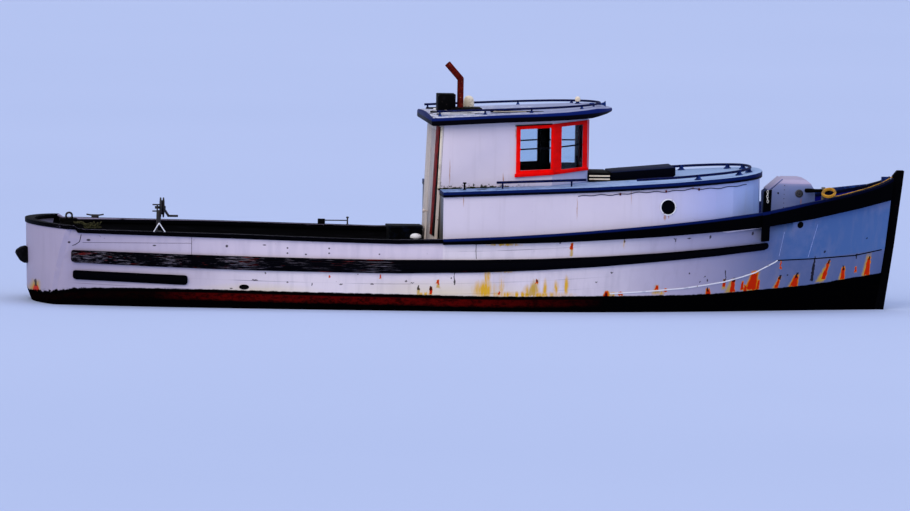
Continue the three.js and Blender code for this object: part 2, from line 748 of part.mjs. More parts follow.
for (const s of SIDE) {
  put(`glass_side_${SIDE_NAME[s]}`, both(
    paneLayer,
    sidePrism(shrink(SIDE_PANE), -1200, 1200),
    halfSpace(s, 416),
  ));
  put(`glass_corner_${SIDE_NAME[s]}`, both(
    paneLayer,
    sidePrism(shrink(CORNER_PANE), -1200, 1200),
    halfSpace(s, 416),
  ));
}
put('glass_front', both(paneLayer, endPrism(shrink(frontRect(300, 72, 46)), 1200, 1700)));

// Roof, roof rail, stack and box
const ROOF_NOSE = 1795;
const ROOF_SIDE = [
  [-555, 1035], [300, 1062], [800, 1050], [1150, 975], [1400, 830], [1580, 640], [1710, 400],
  [1780, 170],
];
const ROOF_PLAN = [
  ...ROOF_SIDE.map(([x, y]) => [x, -y]),
  [ROOF_NOSE, 0],
  ...[...ROOF_SIDE].reverse(),
];
const roofSlab = cut(
  crowned(raise(ROOF_LINE, ROOF_EDGE), ROOF_EDGE, 1250, ROOF_CAMBER),
  sidePrism([[1400, 2519], [ROOF_NOSE, 2487], [2000, 2470], [2000, 2900], [1400, 2900]], -2000, 2000),
  sidePrism([[1475, 2300], [2000, 2300], [2000, 2462], [ROOF_NOSE, 2444], [1475, 2384]], -2000, 2000),
);
const roofClear = roofSlab.translate([0, 0, GAP]);
put('wheelhouse_roof', both(roofSlab, planPrism(ROOF_PLAN, 2000, 3000)));
const roofTop = (x, y) => camber(x, y, raise(ROOF_LINE, ROOF_EDGE), 1250, ROOF_CAMBER);
const RAIL_SIDE = [
  [-480, 850], [0, 900], [700, 910], [1100, 820], [1350, 660], [1520, 460], [1610, 230],
];
const railZ = (x, drop = 0) => flatX([[-500, 2452], [700, 2506], [1700, 2552]], x) - drop;
const railPath = [
  ...RAIL_SIDE.map(([x, y]) => [x, -y, railZ(x)]),
  [1635, 0, railZ(1635, PORT_RAIL_DROP / 2)],
  ...[...RAIL_SIDE].reverse().map(([x, y]) => [x, y, railZ(x, PORT_RAIL_DROP)]),
];
const railPost = (x, y, top, foot) => rod(11, top - foot, 'z', [x, y, (top + foot) / 2], 12);
let roofRail = bar(railPath, 14, 8, 56, 0.4);
for (const [x, y] of [[-440, 854], [120, 905], [700, 910], [1350, 662]]) {
  for (const s of SIDE) {
    const top = railZ(x, s > 0 ? PORT_RAIL_DROP : 0);
    roofRail = roofRail.add(railPost(x, s * y, top, roofTop(x, y) - 12));
  }
}
put('roof_rail', cut(roofRail, roofClear));
const stackFoot = roofTop(-110, 0);
const STACK_RADIUS = 40;
const STACK_BEND = [-110, 0, 2818];
const elbow = bodyOf(new THREE.SphereGeometry(STACK_RADIUS, 20, 12).rotateX(Math.PI / 2)
  .translate(...STACK_BEND));
put('exhaust_stack', cut(
  join(
    bar([[-110, 0, stackFoot - 6], STACK_BEND], STACK_RADIUS, 20),
    elbow,
    bar([STACK_BEND, [-278, 0, 3008]], STACK_RADIUS, 20),
    rod(62, 26, 'z', [-110, 0, stackFoot + 3], 24),
  ),
  roofClear,
));
put('roof_box', cut(block(-400, -180, -150, 150, 2400, 2632), roofClear));

// Raised-deck rail
const deckTopAt = (x, y) => camber(x, y, TRUNK_TOP, 1500, DECK_CAMBER);
const DECK_RAIL = [
  [2000, 1215], [2500, 1130], [2900, 1020], [3150, 895], [3330, 715], [3450, 500], [3515, 250],
];
const deckRailZ = (x) => deckTopAt(x, 900) + 50;
const deckRailPath = [
  ...DECK_RAIL.map(([x, y]) => [x, -y, deckRailZ(x)]),
  [3535, 0, deckRailZ(3535)],
  ...[...DECK_RAIL].reverse().map(([x, y]) => [x, y, deckRailZ(x)]),
];
let deckRail = bar(deckRailPath, 16, 8, 48, 0.4);
for (const [x, y] of [[2785, 1052], [3330, 712], [3487, 370]]) {
  for (const s of SIDE) {
    deckRail = deckRail.add(railPost(x, s * y, deckRailZ(x), deckTopAt(x, y) - 12));
  }
}
const deckClear = deckSlab.translate([0, 0, GAP]);
put('deck_rail', cut(deckRail, deckClear));
for (const s of SIDE) {
  const z = (x) => deckTopAt(x, 1180) + 78;
  let rail = bar([[255, s * 1160, z(255)], [900, s * 1165, z(900)], [1375, s * 1150, z(1375)]], 16, 8);
  for (const x of [330, 1190]) {
    rail = rail.add(railPost(x, s * 1162, z(x), deckTopAt(x, 1162) - 12));
  }
  put(`side_rail_${SIDE_NAME[s]}`, cut(rail, deckClear));
}

// Hatch lid over the raised-deck coaming
put('hatch_lid', cut(
  sidePrism(
    [[1758, hatchRim(1758) - HATCH_SKIRT], [2562, hatchRim(2562) - HATCH_SKIRT], [2562, 1768],
      [1758, 1696]],
    -417,
    417,
  ),
  sidePrism(
    [[1770, 1500], [2550, 1500], [2550, hatchRim(2550) + GAP], [1770, hatchRim(1770) + GAP]],
    -405,
    405,
  ),
));

// Companion hood on the foredeck, with a sloping lid
const HOOD = [
  [3720, 900], [3720, 1448], [3930, 1628], [3950, 1640], [4150, 1640], [4215, 1624],
  [4270, 1580], [4312, 1510], [4322, 1440], [4322, 900],
];
const foreTop = below(raise(SHEER, -FOREDECK_DROP + 0.5), 3000, 5600);
const roundTop = endPrism(
  [[-350, 800], [350, 800], [350, 1500], [336, 1572], [290, 1622], [240, 1640], [-240, 1640],
    [-290, 1622], [-336, 1572], [-350, 1500]],
  3500,
  4500,
);
const hoodIn = both(
  sidePrism(growSide(HOOD, -26), -324, 324),
  endPrism(
    [[-324, 700], [324, 700], [324, 1490], [300, 1560], [230, 1612], [-230, 1612], [-300, 1560],
      [-324, 1490]],
    3500,
    4500,
  ),
);
const lidSlope = [[3753, 1476.8], [3928.2, 1627], [3916, 1641.1], [3740.8, 1490.9]];
put('companion_hood', cut(
  both(sidePrism(HOOD, -400, 400), roundTop),
  hoodIn,
  foreTop,
  sidePrism([[3790, 1480], [3912, 1586], [3880, 1660], [3738, 1541]], -250, 250),
));
put('companion_lid', sidePrism(lidSlope, -285, 285));

// Gurdy on the starboard rail
const GY = -1395;
const GX = -3950;
const capClear = below(raise(SHEER, GAP), -5200, -500, 400);
put('gurdy_bracket', cut(join(
  block(GX - 70, GX + 20, GY - 45, GY + 45, 936, 956),
  block(GX - 46, GX - 30, GY - 28, GY + 28, 946, 1275),
  rod(17, 62.6, 'x', [GX - 36.7, GY, 1250], 16),
), capClear));
const crank = sidePrism(
  [[GX + 44, 1232], [GX + 62, 1232], [GX + 112, 1160], [GX + 112, 1132], [GX + 94, 1132],
    [GX + 44, 1206]],
  GY - 9,
  GY + 9,
);
put('gurdy_spool', cut(
  join(
    rod(125, 12, 'x', [GX + 2, GY, 1250], 32),
    rod(125, 12, 'x', [GX + 38, GY, 1250], 32),
    rod(88, 40, 'x', [GX + 20, GY, 1250], 28),
    rod(20, 70, 'x', [GX + 30, GY, 1250], 18),
    block(GX + 40, GX + 60, GY - 14, GY + 14, 1200, 1262),
    crank,
    rod(14, 120, 'x', [GX + 160, GY, 1146], 14),
  ),
));

// Stern bitt, deck box, helm
put('stern_bitt', join(
  block(-5030, -4930, -50, 50, 620.5, 1010),
  rod(14, 260, 'y', [-4980, 0, 930], 14),
));
put('deck_box', join(
  block(-930, -520, 430, 860, 620.5, 915),
  block(-945, -510, 415, 875, 915, 948),
));
put('helm_console', join(
  planPrism([[1080, -330], [1290, -330], [1290, 120], [1080, 120]], SOLE_Z + GAP, 1240),
  rod(16, 60, 'x', [1060.4, -120, 1120], 16),
));
const WHEEL = [1010, -120, 1120];
let helm = join(
  ring(200, 16, 'x', WHEEL, 32, 8),
  cut(rod(42, 40, 'x', WHEEL, 20), rod(0.1, 1, 'x', WHEEL, 6)),
);
for (let i = 0; i < 3; i += 1) {
  const spoke = bodyOf(new THREE.CylinderGeometry(9, 9, 400, 10).rotateX((i * Math.PI) / 3)
    .translate(...WHEEL));
  helm = helm.add(spoke);
}
put('helm_wheel', helm);

// Propeller and rudder
const bladeAt = (turn) => {
  const rows = [];
  for (let i = 0; i <= 8; i += 1) {
    const t = i / 8;
    const r = 30 + 185 * t;
    const chord = 46 + 150 * Math.sin(Math.PI * Math.min(1, 0.12 + 0.8 * t)) ** 1.2;
    const pitch = Math.atan2(0.62 * 420, 2 * Math.PI * Math.max(r, 60));
    const thick = 8 - 5 * t;
    const row = [];
    for (const [c, h] of [[-0.5, 0], [-0.2, 0.5], [0.2, 0.5], [0.5, 0], [0.2, -0.5], [-0.2, -0.5]]) {
      const along = c * chord;
      const up = h * thick;
      const tx = along * Math.sin(pitch) + up * Math.cos(pitch);
      const ty = along * Math.cos(pitch) - up * Math.sin(pitch);
      const a = ty / Math.max(r, 60);
      row.push([tx, r * Math.sin(a), r * Math.cos(a)]);
    }
    rows.push(row);
  }
  const g = gridBody(rows);
  return g.rotate([turn, 0, 0]).translate([-4560, 0, PROP_Z]);
};
put('propeller', join(
  rod(17.5, 430, 'x', [-4350, 0, PROP_Z], 20),
  rod(46, 120, 'x', [-4560, 0, PROP_Z], 24),
  rod(26, 40, 'x', [-4635, 0, PROP_Z], 20),
  bladeAt(0),
  bladeAt(120),
  bladeAt(240),
));
put('rudder', join(
  sidePrism(
    [[RUDDER_X - 20, -1060], [RUDDER_X + 30, -1060], [RUDDER_X + 30, -320],
      [RUDDER_X - 20, -320], [-5240, -300], [-5290, -560], [-5270, -1000]],
    -16,
    16,
  ),
  rod(26, 860, 'z', [RUDDER_X, 0, -250], 24),
  rod(14, 64.6, 'z', [RUDDER_X, 0, -1052.3], 16),
));

// Mooring rope along the starboard bow rail, and its coil
const ROPE_RADIUS = 7;
const COIL_RADIUS = 75;
const COIL_SECTION = 21;
const COIL_CENTRE = [4480, -520, 1478];
const COIL_TILT = 0.61;
const COIL_PITCH = -0.183;
const ROPE = [
  [4590, -525, 1441.3], [4650, -492, 1452.5], [4760, -427, 1476.9], [4880, -357, 1505],
  [5000, -285, 1534.3], [5100, -217, 1566.3], [5180, -162, 1592.3], [5240, -120, 1619.7],
  [5285, -90, 1643.5], [5318, -71.5, 1662],
];
put('mooring_rope', bar(ROPE, ROPE_RADIUS, 8, 44, 0.5));
const coilProfile = [];
for (let i = 0; i <= 12; i += 1) {
  const t = (i * 2 * Math.PI) / 12;
  coilProfile.push(new THREE.Vector2(
    COIL_RADIUS + COIL_SECTION * Math.cos(t),
    COIL_SECTION * Math.sin(t),
  ));
}
const coil = new THREE.LatheGeometry(coilProfile, 32);
coil.rotateX(Math.PI / 2);
coil.rotateX(COIL_TILT);
coil.rotateY(COIL_PITCH);
coil.translate(...COIL_CENTRE);
put('rope_coil', bodyOf(coil));

// Colours for the plain view
const PAINT = {
  hull: 0xc9c4dc, trim: 0x101018, navy: 0x16307a, red: 0xc41414, deck: 0x7d7a70, glass: 0x9fc4d8,
  metal: 0x4a4a50, stack: 0x5a1a12, rope: 0xc89020, wood: 0x8a6a48, bronze: 0x9a7a3a,
};
const LOOK = [
  [/^(hull|transom|bulwark|cabin_side|cabin_front|wheelhouse_(side|corner|front|aft|door))/, 'hull'],
  [/^(keel|stem|cap_rail|sheer_guard|bow_bulwark|rub_strake|short_fender|stern_bumper)/, 'trim'],
  [/^(wheelhouse_roof|raised_deck|roof_rail|deck_rail|side_rail)/, 'navy'],
  [/^window_frame/, 'red'],
  [/^(aft_deck|foredeck)/, 'deck'],
  [/^glass/, 'glass'],
  [/^exhaust_stack/, 'stack'],
  [/^(mooring_rope|rope_coil)/, 'rope'],
  [/^(helm_wheel|deck_box)/, 'wood'],
  [/^propeller/, 'bronze'],
];
const boat = new THREE.Group();
boat.name = 'boat';
for (const [name, solid] of parts) {
  const mesh = solid.getMesh();
  const geometry = new THREE.BufferGeometry();
  geometry.setAttribute('position', new THREE.BufferAttribute(Float32Array.from(mesh.vertProperties), 3));
  geometry.setIndex(new THREE.BufferAttribute(Uint32Array.from(mesh.triVerts), 1));
  geometry.computeVertexNormals();
  const look = LOOK.find(([test]) => test.test(name));
  const material = new THREE.MeshStandardMaterial({ color: PAINT[look ? look[1] : 'metal'] });
  const node = new THREE.Mesh(geometry, material);
  node.name = name;
  boat.add(node);
}

export default boat;
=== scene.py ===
# %% [markdown]
# # A small wooden fishing boat, dressed for its portrait
# This lesson takes a plain model of an inshore fishing boat, about 36 feet long, and gives it
# the paint, rust, rope and small fittings of a boat that has worked for many years.
# The plain model comes in as a fixed frame: +X is the bow, +Y is port, +Z is up, in metres,
# and zero height is the water. Every new piece is placed in that same frame, so nothing has
# to be fitted by eye.

# %% Load the frame
import json
import math
import random
import bmesh
import bpy
from mathutils import Matrix, Vector
from mathutils.bvhtree import BVHTree

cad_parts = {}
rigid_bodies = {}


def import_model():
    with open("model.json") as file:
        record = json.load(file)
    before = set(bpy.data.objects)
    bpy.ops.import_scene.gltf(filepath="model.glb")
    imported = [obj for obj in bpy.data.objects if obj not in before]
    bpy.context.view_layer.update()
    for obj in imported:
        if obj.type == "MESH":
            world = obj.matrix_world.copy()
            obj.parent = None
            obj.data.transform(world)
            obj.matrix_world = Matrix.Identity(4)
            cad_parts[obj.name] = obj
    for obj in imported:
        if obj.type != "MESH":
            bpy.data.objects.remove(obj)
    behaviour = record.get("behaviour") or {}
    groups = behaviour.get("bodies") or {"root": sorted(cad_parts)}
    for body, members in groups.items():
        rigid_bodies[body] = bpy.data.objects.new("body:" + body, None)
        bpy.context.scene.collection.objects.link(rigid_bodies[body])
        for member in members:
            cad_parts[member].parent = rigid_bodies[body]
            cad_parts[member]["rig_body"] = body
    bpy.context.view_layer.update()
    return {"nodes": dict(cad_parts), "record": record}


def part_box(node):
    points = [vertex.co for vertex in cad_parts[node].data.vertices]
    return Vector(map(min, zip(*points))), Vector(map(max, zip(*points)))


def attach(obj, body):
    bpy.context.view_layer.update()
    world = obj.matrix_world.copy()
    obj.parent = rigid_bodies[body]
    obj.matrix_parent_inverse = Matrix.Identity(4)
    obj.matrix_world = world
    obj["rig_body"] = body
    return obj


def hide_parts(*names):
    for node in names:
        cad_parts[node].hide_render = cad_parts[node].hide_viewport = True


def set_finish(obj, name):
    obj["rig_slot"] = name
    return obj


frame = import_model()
nodes = frame["nodes"]

# %% [markdown]
# ## The camera
# The photograph was taken from a quay with a long lens: the boat shows no perspective, we see
# her from a little behind the beam, and only a few degrees from above. A camera 280 m away
# with a narrow view does the same. The water line in the picture runs down to the right by
# one degree, so the camera is rolled by that much and the boat stays level.

# %% Camera
AROUND = math.radians(5.3)
ABOVE = math.radians(3.5)
ROLL = math.radians(1.0)
VIEW_WIDTH = 11.357
DISTANCE = 280
SENSOR_WIDTH = 36
AIM_ALONG, AIM_UP = -0.1413, 0.6077
level = Vector((math.cos(AROUND), -math.sin(AROUND), 0))
rise = Vector((
    math.sin(ABOVE) * math.sin(AROUND),
    math.sin(ABOVE) * math.cos(AROUND),
    math.cos(ABOVE),
))
ahead = rise.cross(level)
picture_x = level * math.cos(ROLL) + rise * math.sin(ROLL)
picture_y = rise * math.cos(ROLL) - level * math.sin(ROLL)
aim = level * AIM_ALONG + rise * AIM_UP
turn = Matrix((picture_x, picture_y, -ahead)).transposed()
bpy.ops.object.camera_add(location=aim - ahead * DISTANCE, rotation=turn.to_euler())
camera = bpy.context.object
camera.data.sensor_width = SENSOR_WIDTH
camera.data.lens = SENSOR_WIDTH * DISTANCE / VIEW_WIDTH
camera.data.clip_end = DISTANCE * 7
bpy.context.scene.camera = camera
print("lens", round(camera.data.lens), "mm, looking along", [round(c, 3) for c in ahead])

# %% [markdown]
# ## Small helpers
# Blender's operators act on whatever is selected, so each step starts from an empty
# selection. `open_whole` then takes all of one piece, and `pick` selects faces, edges or
# corners by a test, which does in code what a modeller does with the mouse.

# %% Selecting by place
def start():
    """Object mode with nothing selected."""
    if bpy.context.object and bpy.context.object.mode != "OBJECT":
        bpy.ops.object.mode_set(mode="OBJECT")
    bpy.ops.object.select_all(action="DESELECT")


def take(piece):
    """Makes a piece the only selected and active one."""
    start()
    piece.select_set(True)
    bpy.context.view_layer.objects.active = piece


def pick(kind, test):
    """In edit mode: selects the verts, edges or faces that pass a test."""
    mode = {"verts": "VERT", "edges": "EDGE", "faces": "FACE"}[kind]
    bpy.ops.mesh.select_mode(type=mode)
    bpy.ops.mesh.select_all(action="DESELECT")
    mesh = bmesh.from_edit_mesh(bpy.context.object.data)
    for part in getattr(mesh, kind):
        part.select_set(test(part))
    mesh.select_flush_mode()
    bmesh.update_edit_mesh(bpy.context.object.data)


def open_whole(piece):
    """Edit mode on one piece, with all of it selected."""
    take(piece)
    bpy.ops.object.mode_set(mode="EDIT")
    bpy.ops.mesh.select_all(action="SELECT")


def named(name):
    """Names the piece that was just added, and its mesh."""
    piece = bpy.context.object
    piece.name = name
    piece.data.name = name
    return piece


start()
print("helpers ready; nothing selected:", not bpy.context.selected_objects)

# %% [markdown]
# ## Where a surface lies
# A fitting that is screwed to a curved hull has to sit on it from every side. `surface` sends
# a ray at one named part and returns the point it meets and the way the skin faces there,
# towards the side that the ray came from. `skin` looks at the boat from abeam, `top_of` from
# above.

# %% Rays onto the frame
trees = {}


def surface(node, origin, direction):
    """Where a ray meets a part, and the way the part faces there."""
    if node not in trees:
        mesh = nodes[node].data
        trees[node] = BVHTree.FromPolygons(
            [v.co.copy() for v in mesh.vertices], [tuple(p.vertices) for p in mesh.polygons]
        )
    point, normal = trees[node].ray_cast(Vector(origin), Vector(direction))[:2]
    if point is None:
        raise ValueError(f"no {node} along {tuple(direction)} from {tuple(origin)}")
    return point, -normal if normal.dot(Vector(direction)) > 0 else normal


def skin(node, x, z, side=-1):
    """The outside of a part of the boat's side, at this place along and height."""
    return surface(node, (x, side * 4, z), (0, -side, 0))


def top_of(node, x, y, sky=4):
    """The point of a part that is seen from above at this place."""
    return surface(node, (x, y, sky), (0, 0, -1))[0]


print("topside at midships:", [round(c, 3) for c in skin("hull", 0, 0.3)[0]])

# %% [markdown]
# ## The mooring rope
# A yellow three-strand rope leaves the stem, lies along the starboard bow rail and ends in a
# coil that leans on the mooring bar. A laid rope is three strands that wind round each other
# once every three and a half diameters. A plain tube would do from far off, but the strands
# are what makes it rope, so each one is drawn as its own round line along the same route.

# %% The rope's route
ROPE_THICK = 0.014
COIL_RADIUS = 0.075
COIL_CENTRE = Vector((4.480, -0.520, 1.478))
COIL_TURNS = 7
COIL_STEPS = 24
COIL_START = math.radians(-55)
CROSS_FROM = 0.75  # the last quarter of each turn crosses to the next lay
RAIL_POINTS = (
    (5.318, -0.0715, 1.6620), (5.285, -0.090, 1.6435), (5.240, -0.120, 1.6197),
    (5.180, -0.162, 1.5923), (5.100, -0.217, 1.5663), (5.000, -0.285, 1.5343),
    (4.880, -0.357, 1.5050), (4.760, -0.427, 1.4769), (4.650, -0.492, 1.4525),
    (4.590, -0.525, 1.4413),
)
LEAN_AFT, LEAN_OUT = -0.183, 0.61
lean = Matrix.Rotation(LEAN_AFT, 3, "Y") @ Matrix.Rotation(LEAN_OUT, 3, "X")
lays = [(0.0, 0.0)] + [
    (ROPE_THICK * math.cos(math.radians(way)), ROPE_THICK * math.sin(math.radians(way)))
    for way in (0, 60, 120, 180, -120, -60)
]
lays.reverse()
coil_points = []
for step in range(COIL_TURNS * COIL_STEPS - 2):
    turns_done, part = divmod(step, COIL_STEPS)
    share = max(0.0, (part / COIL_STEPS - CROSS_FROM) / (1 - CROSS_FROM))
    here, there = lays[turns_done], lays[min(turns_done + 1, COIL_TURNS - 1)]
    out, up = (a + (b - a) * share for a, b in zip(here, there))
    angle = COIL_START - 2 * math.pi * step / COIL_STEPS
    flat = Vector((
        (COIL_RADIUS + out) * math.cos(angle), (COIL_RADIUS + out) * math.sin(angle), up
    ))
    coil_points.append(COIL_CENTRE + lean @ flat)


def smooth_through(points, steps):
    """Catmull-Rom points: a smooth line through every given point."""
    points = [Vector(p) for p in points]
    points = [points[0] * 2 - points[1]] + points + [points[-1] * 2 - points[-2]]
    line = []
    for a, b, c, d in zip(points, points[1:], points[2:], points[3:]):
        for step in range(steps):
            t = step / steps
            line.append(0.5 * (
                2 * b + (c - a) * t + (2 * a - 5 * b + 4 * c - d) * t * t
                + (3 * b - a - 3 * c + d) * t * t * t
            ))
    return line + [points[-2]]


rail_line = smooth_through([*RAIL_POINTS, coil_points[0]], 3)
rope_route = rail_line[:-1] + coil_points

# %% [markdown]
# A curve object with three lines and a round bevel makes the strands; it is then turned into
# a mesh so that its place is in its points like every other piece. The strands are set so
# that together they just fill the rope's own thickness.

# %% Three strands round one line
STRAND_SHARE = 0.232  # a strand's radius over the rope's thickness, so that three fill it
LAY_LENGTH = 3.5  # one whole turn of the strands, in rope thicknesses
ROPE_STEP = 0.007
TWINE_RADIUS = 0.0014
WHIPPING_TURNS, WHIPPING_STEPS = 8, 12


def drawn(name, lines, radius, sides=2):
    """Round bars or wires along lines of points, as one closed mesh."""
    start()
    bpy.ops.curve.primitive_nurbs_path_add()
    wire = named(name)
    wire.data.splines.clear()
    for points in lines:
        spline = wire.data.splines.new("POLY")
        spline.points.add(len(points) - 1)
        for knot, point in zip(spline.points, points):
            knot.co = (*point, 1)
    wire.data.bevel_depth = radius
    wire.data.bevel_resolution = sides
    wire.data.use_fill_caps = True
    bpy.ops.object.convert(target="MESH")
    made = bpy.context.object
    open_whole(made)
    bpy.ops.mesh.remove_doubles(threshold=radius * 0.02)
    bpy.ops.mesh.normals_make_consistent(inside=False)
    bpy.ops.object.mode_set(mode="OBJECT")
    return made


def laid(route, thick, spacing):
    """The three strand lines of a laid rope along a route."""
    strand = thick * STRAND_SHARE
    fine = []
    for a, b in zip(route, route[1:]):
        count = max(1, round((b - a).length / spacing))
        fine += [a.lerp(b, i / count) for i in range(count)]
    fine.append(route[-1])
    lines = ([], [], [])
    side = (fine[1] - fine[0]).orthogonal().normalized()
    travelled = 0
    for i, point in enumerate(fine):
        way = (fine[min(i + 1, len(fine) - 1)] - fine[max(i - 1, 0)]).normalized()
        side = (side - way * side.dot(way)).normalized()
        across = way.cross(side)
        for k, line in enumerate(lines):
            angle = 2 * math.pi * (travelled / (LAY_LENGTH * thick) + k / 3)
            line.append(point + (side * math.cos(angle) + across * math.sin(angle))
                        * (thick / 2 - strand))
        if i + 1 < len(fine):
            travelled += (fine[i + 1] - point).length
    return lines, strand


strands, strand_radius = laid(rope_route, ROPE_THICK, ROPE_STEP)
mooring_line = drawn("mooring_line", strands, strand_radius, sides=1)
bpy.ops.object.shade_smooth()
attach(mooring_line, "boat")
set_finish(mooring_line, "rope_yellow")
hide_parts("mooring_rope", "rope_coil")
tail = (coil_points[-1] - coil_points[-2]).normalized()
side = tail.orthogonal().normalized()
across = tail.cross(side)
turns = []
for step in range(WHIPPING_TURNS * WHIPPING_STEPS + 1):
    angle = 2 * math.pi * step / WHIPPING_STEPS
    middle = coil_points[-1] - tail * (0.004 + 0.0025 * step / WHIPPING_STEPS)
    turns.append(middle + (side * math.cos(angle) + across * math.sin(angle))
                 * (ROPE_THICK / 2 + TWINE_RADIUS * 0.6))
whipping = drawn("rope_whipping", [turns], TWINE_RADIUS, sides=1)
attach(whipping, "boat")
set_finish(whipping, "rope_yellow")
print("strand triangles:", sum(len(p.vertices) - 2 for p in mooring_line.data.polygons))

# %% [markdown]
# ## Floor and light
# The floor lies at the water line, so it hides what is under water just as the water does.
# It is pale and large enough that the low camera sees nothing else behind the boat. The real
# boat lies under an open evening sky: soft light from high on the left, and a bluer, weaker
# light on the bow. Lamps as wide as half the sky do that without hard shadows, and light the
# floor evenly.

# %% Floor, sky and lamps
def linear(hex_code):
    """An sRGB hex colour as the linear numbers that shaders use, with full opacity."""
    parts = [int(hex_code[i:i + 2], 16) / 255 for i in (1, 3, 5)]
    return (*(p / 12.92 if p <= 0.04045 else ((p + 0.055) / 1.055) ** 2.4 for p in parts), 1)


def add(tree, kind, sockets=(), out=0, **settings):
    """Adds one node. A socket takes a link or a value. Gives back one of its outputs."""
    made = tree.nodes.new("ShaderNode" + kind)
    for key, value in settings.items():
        setattr(made, key, value)
    for key, value in dict(sockets).items():
        if isinstance(value, bpy.types.NodeSocket):
            tree.links.new(value, made.inputs[key])
        else:
            made.inputs[key].default_value = value
    return made.outputs[out]


def fresh(name, colour, roughness, metallic=0.0, shine=0.5):
    """A new material and its parts: material, tree, shader, place in metres. A shine of 0.5
    mirrors like any fresh varnish; weathered paint mirrors next to nothing."""
    made = bpy.data.materials.new(name)
    made.use_nodes = True
    shader = made.node_tree.nodes["Principled BSDF"]
    shader.inputs["Base Color"].default_value = linear(colour)
    shader.inputs["Roughness"].default_value = roughness
    shader.inputs["Metallic"].default_value = metallic
    shader.inputs["Specular IOR Level"].default_value = shine
    return made, made.node_tree, shader, add(made.node_tree, "TexCoord", out="Object")


start()
bpy.ops.mesh.primitive_plane_add(size=500, location=(0, 0, 0))
floor = named("studio_floor")
floor_paint, tree, shader, place = fresh("Pale_studio_floor", "#AFBFE2", 0.8)
soft_tone = add(tree, "TexNoise", {"Vector": place, "Scale": 0.05, "Detail": 2.0})
tree.links.new(add(tree, "Mix", {0: soft_tone, 6: linear("#A9BADF"), 7: linear("#B4C3E6")},
                   out=2, data_type="RGBA"), shader.inputs["Base Color"])
floor.data.materials.append(floor_paint)

world = bpy.data.worlds.new("Evening_sky")
bpy.context.scene.world = world
world.use_nodes = True
world.node_tree.nodes["Background"].inputs["Color"].default_value = linear("#D6DDF0")
world.node_tree.nodes["Background"].inputs["Strength"].default_value = 0.55
bpy.context.scene.view_settings.view_transform = "Standard"
for where, spread, power, tint in (
    ((-7, -12, 9), 50, 1.7, "#FFF4EC"),
    ((2, 3, 14), 70, 1.2, "#F6F6FF"),
    ((14, -6, 4), 60, 0.8, "#A4BDFF"),
):
    bpy.ops.object.light_add(type="SUN", location=where)
    lamp = bpy.context.object
    lamp.data.angle = math.radians(spread)
    lamp.data.energy = power
    lamp.data.color = linear(tint)[:3]
    lamp.rotation_euler = (-Vector(where)).to_track_quat("-Z", "Y").to_euler()
lamps = [o for o in bpy.data.objects if o.type == "LIGHT"]
print("floor at the water line and", len(lamps), "lamps")

# %% [markdown]
# ## Lines that follow the boat
# Paint lines, plank seams and strakes all sweep with the hull. A float curve holds such a line
# as height against distance along the boat, so a pattern can ask "how far am I above the
# line here?". The tables below are the boat's own lines, in metres.

# %% The boat's lines
PAINT_LINE = (
    (-5.75, 0.120), (-5.35, 0.162), (-5.04, 0.204), (-4.67, 0.225), (-3.44, 0.233),
    (-2.20, 0.220), (-0.95, 0.208), (0.05, 0.195), (1.43, 0.204), (2.20, 0.210),
    (2.89, 0.223), (3.62, 0.272), (4.32, 0.332), (4.78, 0.401), (5.19, 0.462), (5.40, 0.495),
)
STRAKE_LINE = (
    (-5.10, 0.546), (-4.00, 0.512), (-3.00, 0.487), (-2.00, 0.472), (-1.00, 0.468),
    (0.00, 0.490), (0.80, 0.526), (1.55, 0.574), (2.30, 0.636), (3.00, 0.700), (3.70, 0.778),
    (4.50, 0.880), (5.40, 1.010),
)
SHEER_LINE = (
    (-5.70, 0.985), (-5.06, 0.965), (-4.70, 0.957), (-3.80, 0.942), (-3.00, 0.930),
    (-2.00, 0.903), (-1.00, 0.886), (-0.43, 0.900), (0.30, 0.937), (1.00, 0.985), (1.55, 1.030),
    (2.30, 1.098), (3.00, 1.172), (3.63, 1.250), (4.28, 1.376), (4.68, 1.450), (5.00, 1.525),
    (5.20, 1.590), (5.35, 1.668), (5.44, 1.740),
)
PLATE_SEAM = ((3.60, 0.640), (3.82, 0.637), (4.32, 0.661), (4.77, 0.704), (5.23, 0.763))
# A curve runs from 0 to 1 both ways: along from -REACH to REACH, up from LOWEST by SPAN.
REACH, LOWEST, SPAN = 6.0, -1.0, 4.0


def above_line(tree, x, z, line):
    """How high a place is above a line of the boat, in metres."""
    along = add(tree, "MapRange", {"Value": x, "From Min": -REACH, "From Max": REACH})
    fair = tree.nodes.new("ShaderNodeFloatCurve")
    sweep = fair.mapping.curves[0]
    while len(sweep.points) < len(line):
        sweep.points.new(0.5, 0.5)
    for point, (where, height) in zip(sweep.points, line):
        point.location = ((where + REACH) / (2 * REACH), (height - LOWEST) / SPAN)
    fair.mapping.update()
    tree.links.new(along, fair.inputs["Value"])
    height = add(tree, "Math", {0: fair.outputs[0], 1: SPAN, 2: LOWEST},
                 operation="MULTIPLY_ADD")
    return add(tree, "Math", {0: z, 1: height}, operation="SUBTRACT")


def streaks(tree, place, marks):
    """Where water has drawn long marks down the side: one soft spot for each
    (along, height, half width, half length), all joined into one strength."""
    whole = None
    for x, z, wide, long in marks:
        near = add(tree, "VectorMath", {
            0: place, 1: (1 / wide, 0, 1 / long), 2: (-x / wide, 0, -z / long),
        }, operation="MULTIPLY_ADD")
        spot = add(tree, "TexGradient", {"Vector": near}, out="Fac", gradient_type="SPHERICAL")
        whole = spot if whole is None else add(
            tree, "Math", {0: whole, 1: spot}, operation="MAXIMUM"
        )
    return whole


print("lines:", len(PAINT_LINE), len(STRAKE_LINE), len(SHEER_LINE), len(PLATE_SEAM), "points")

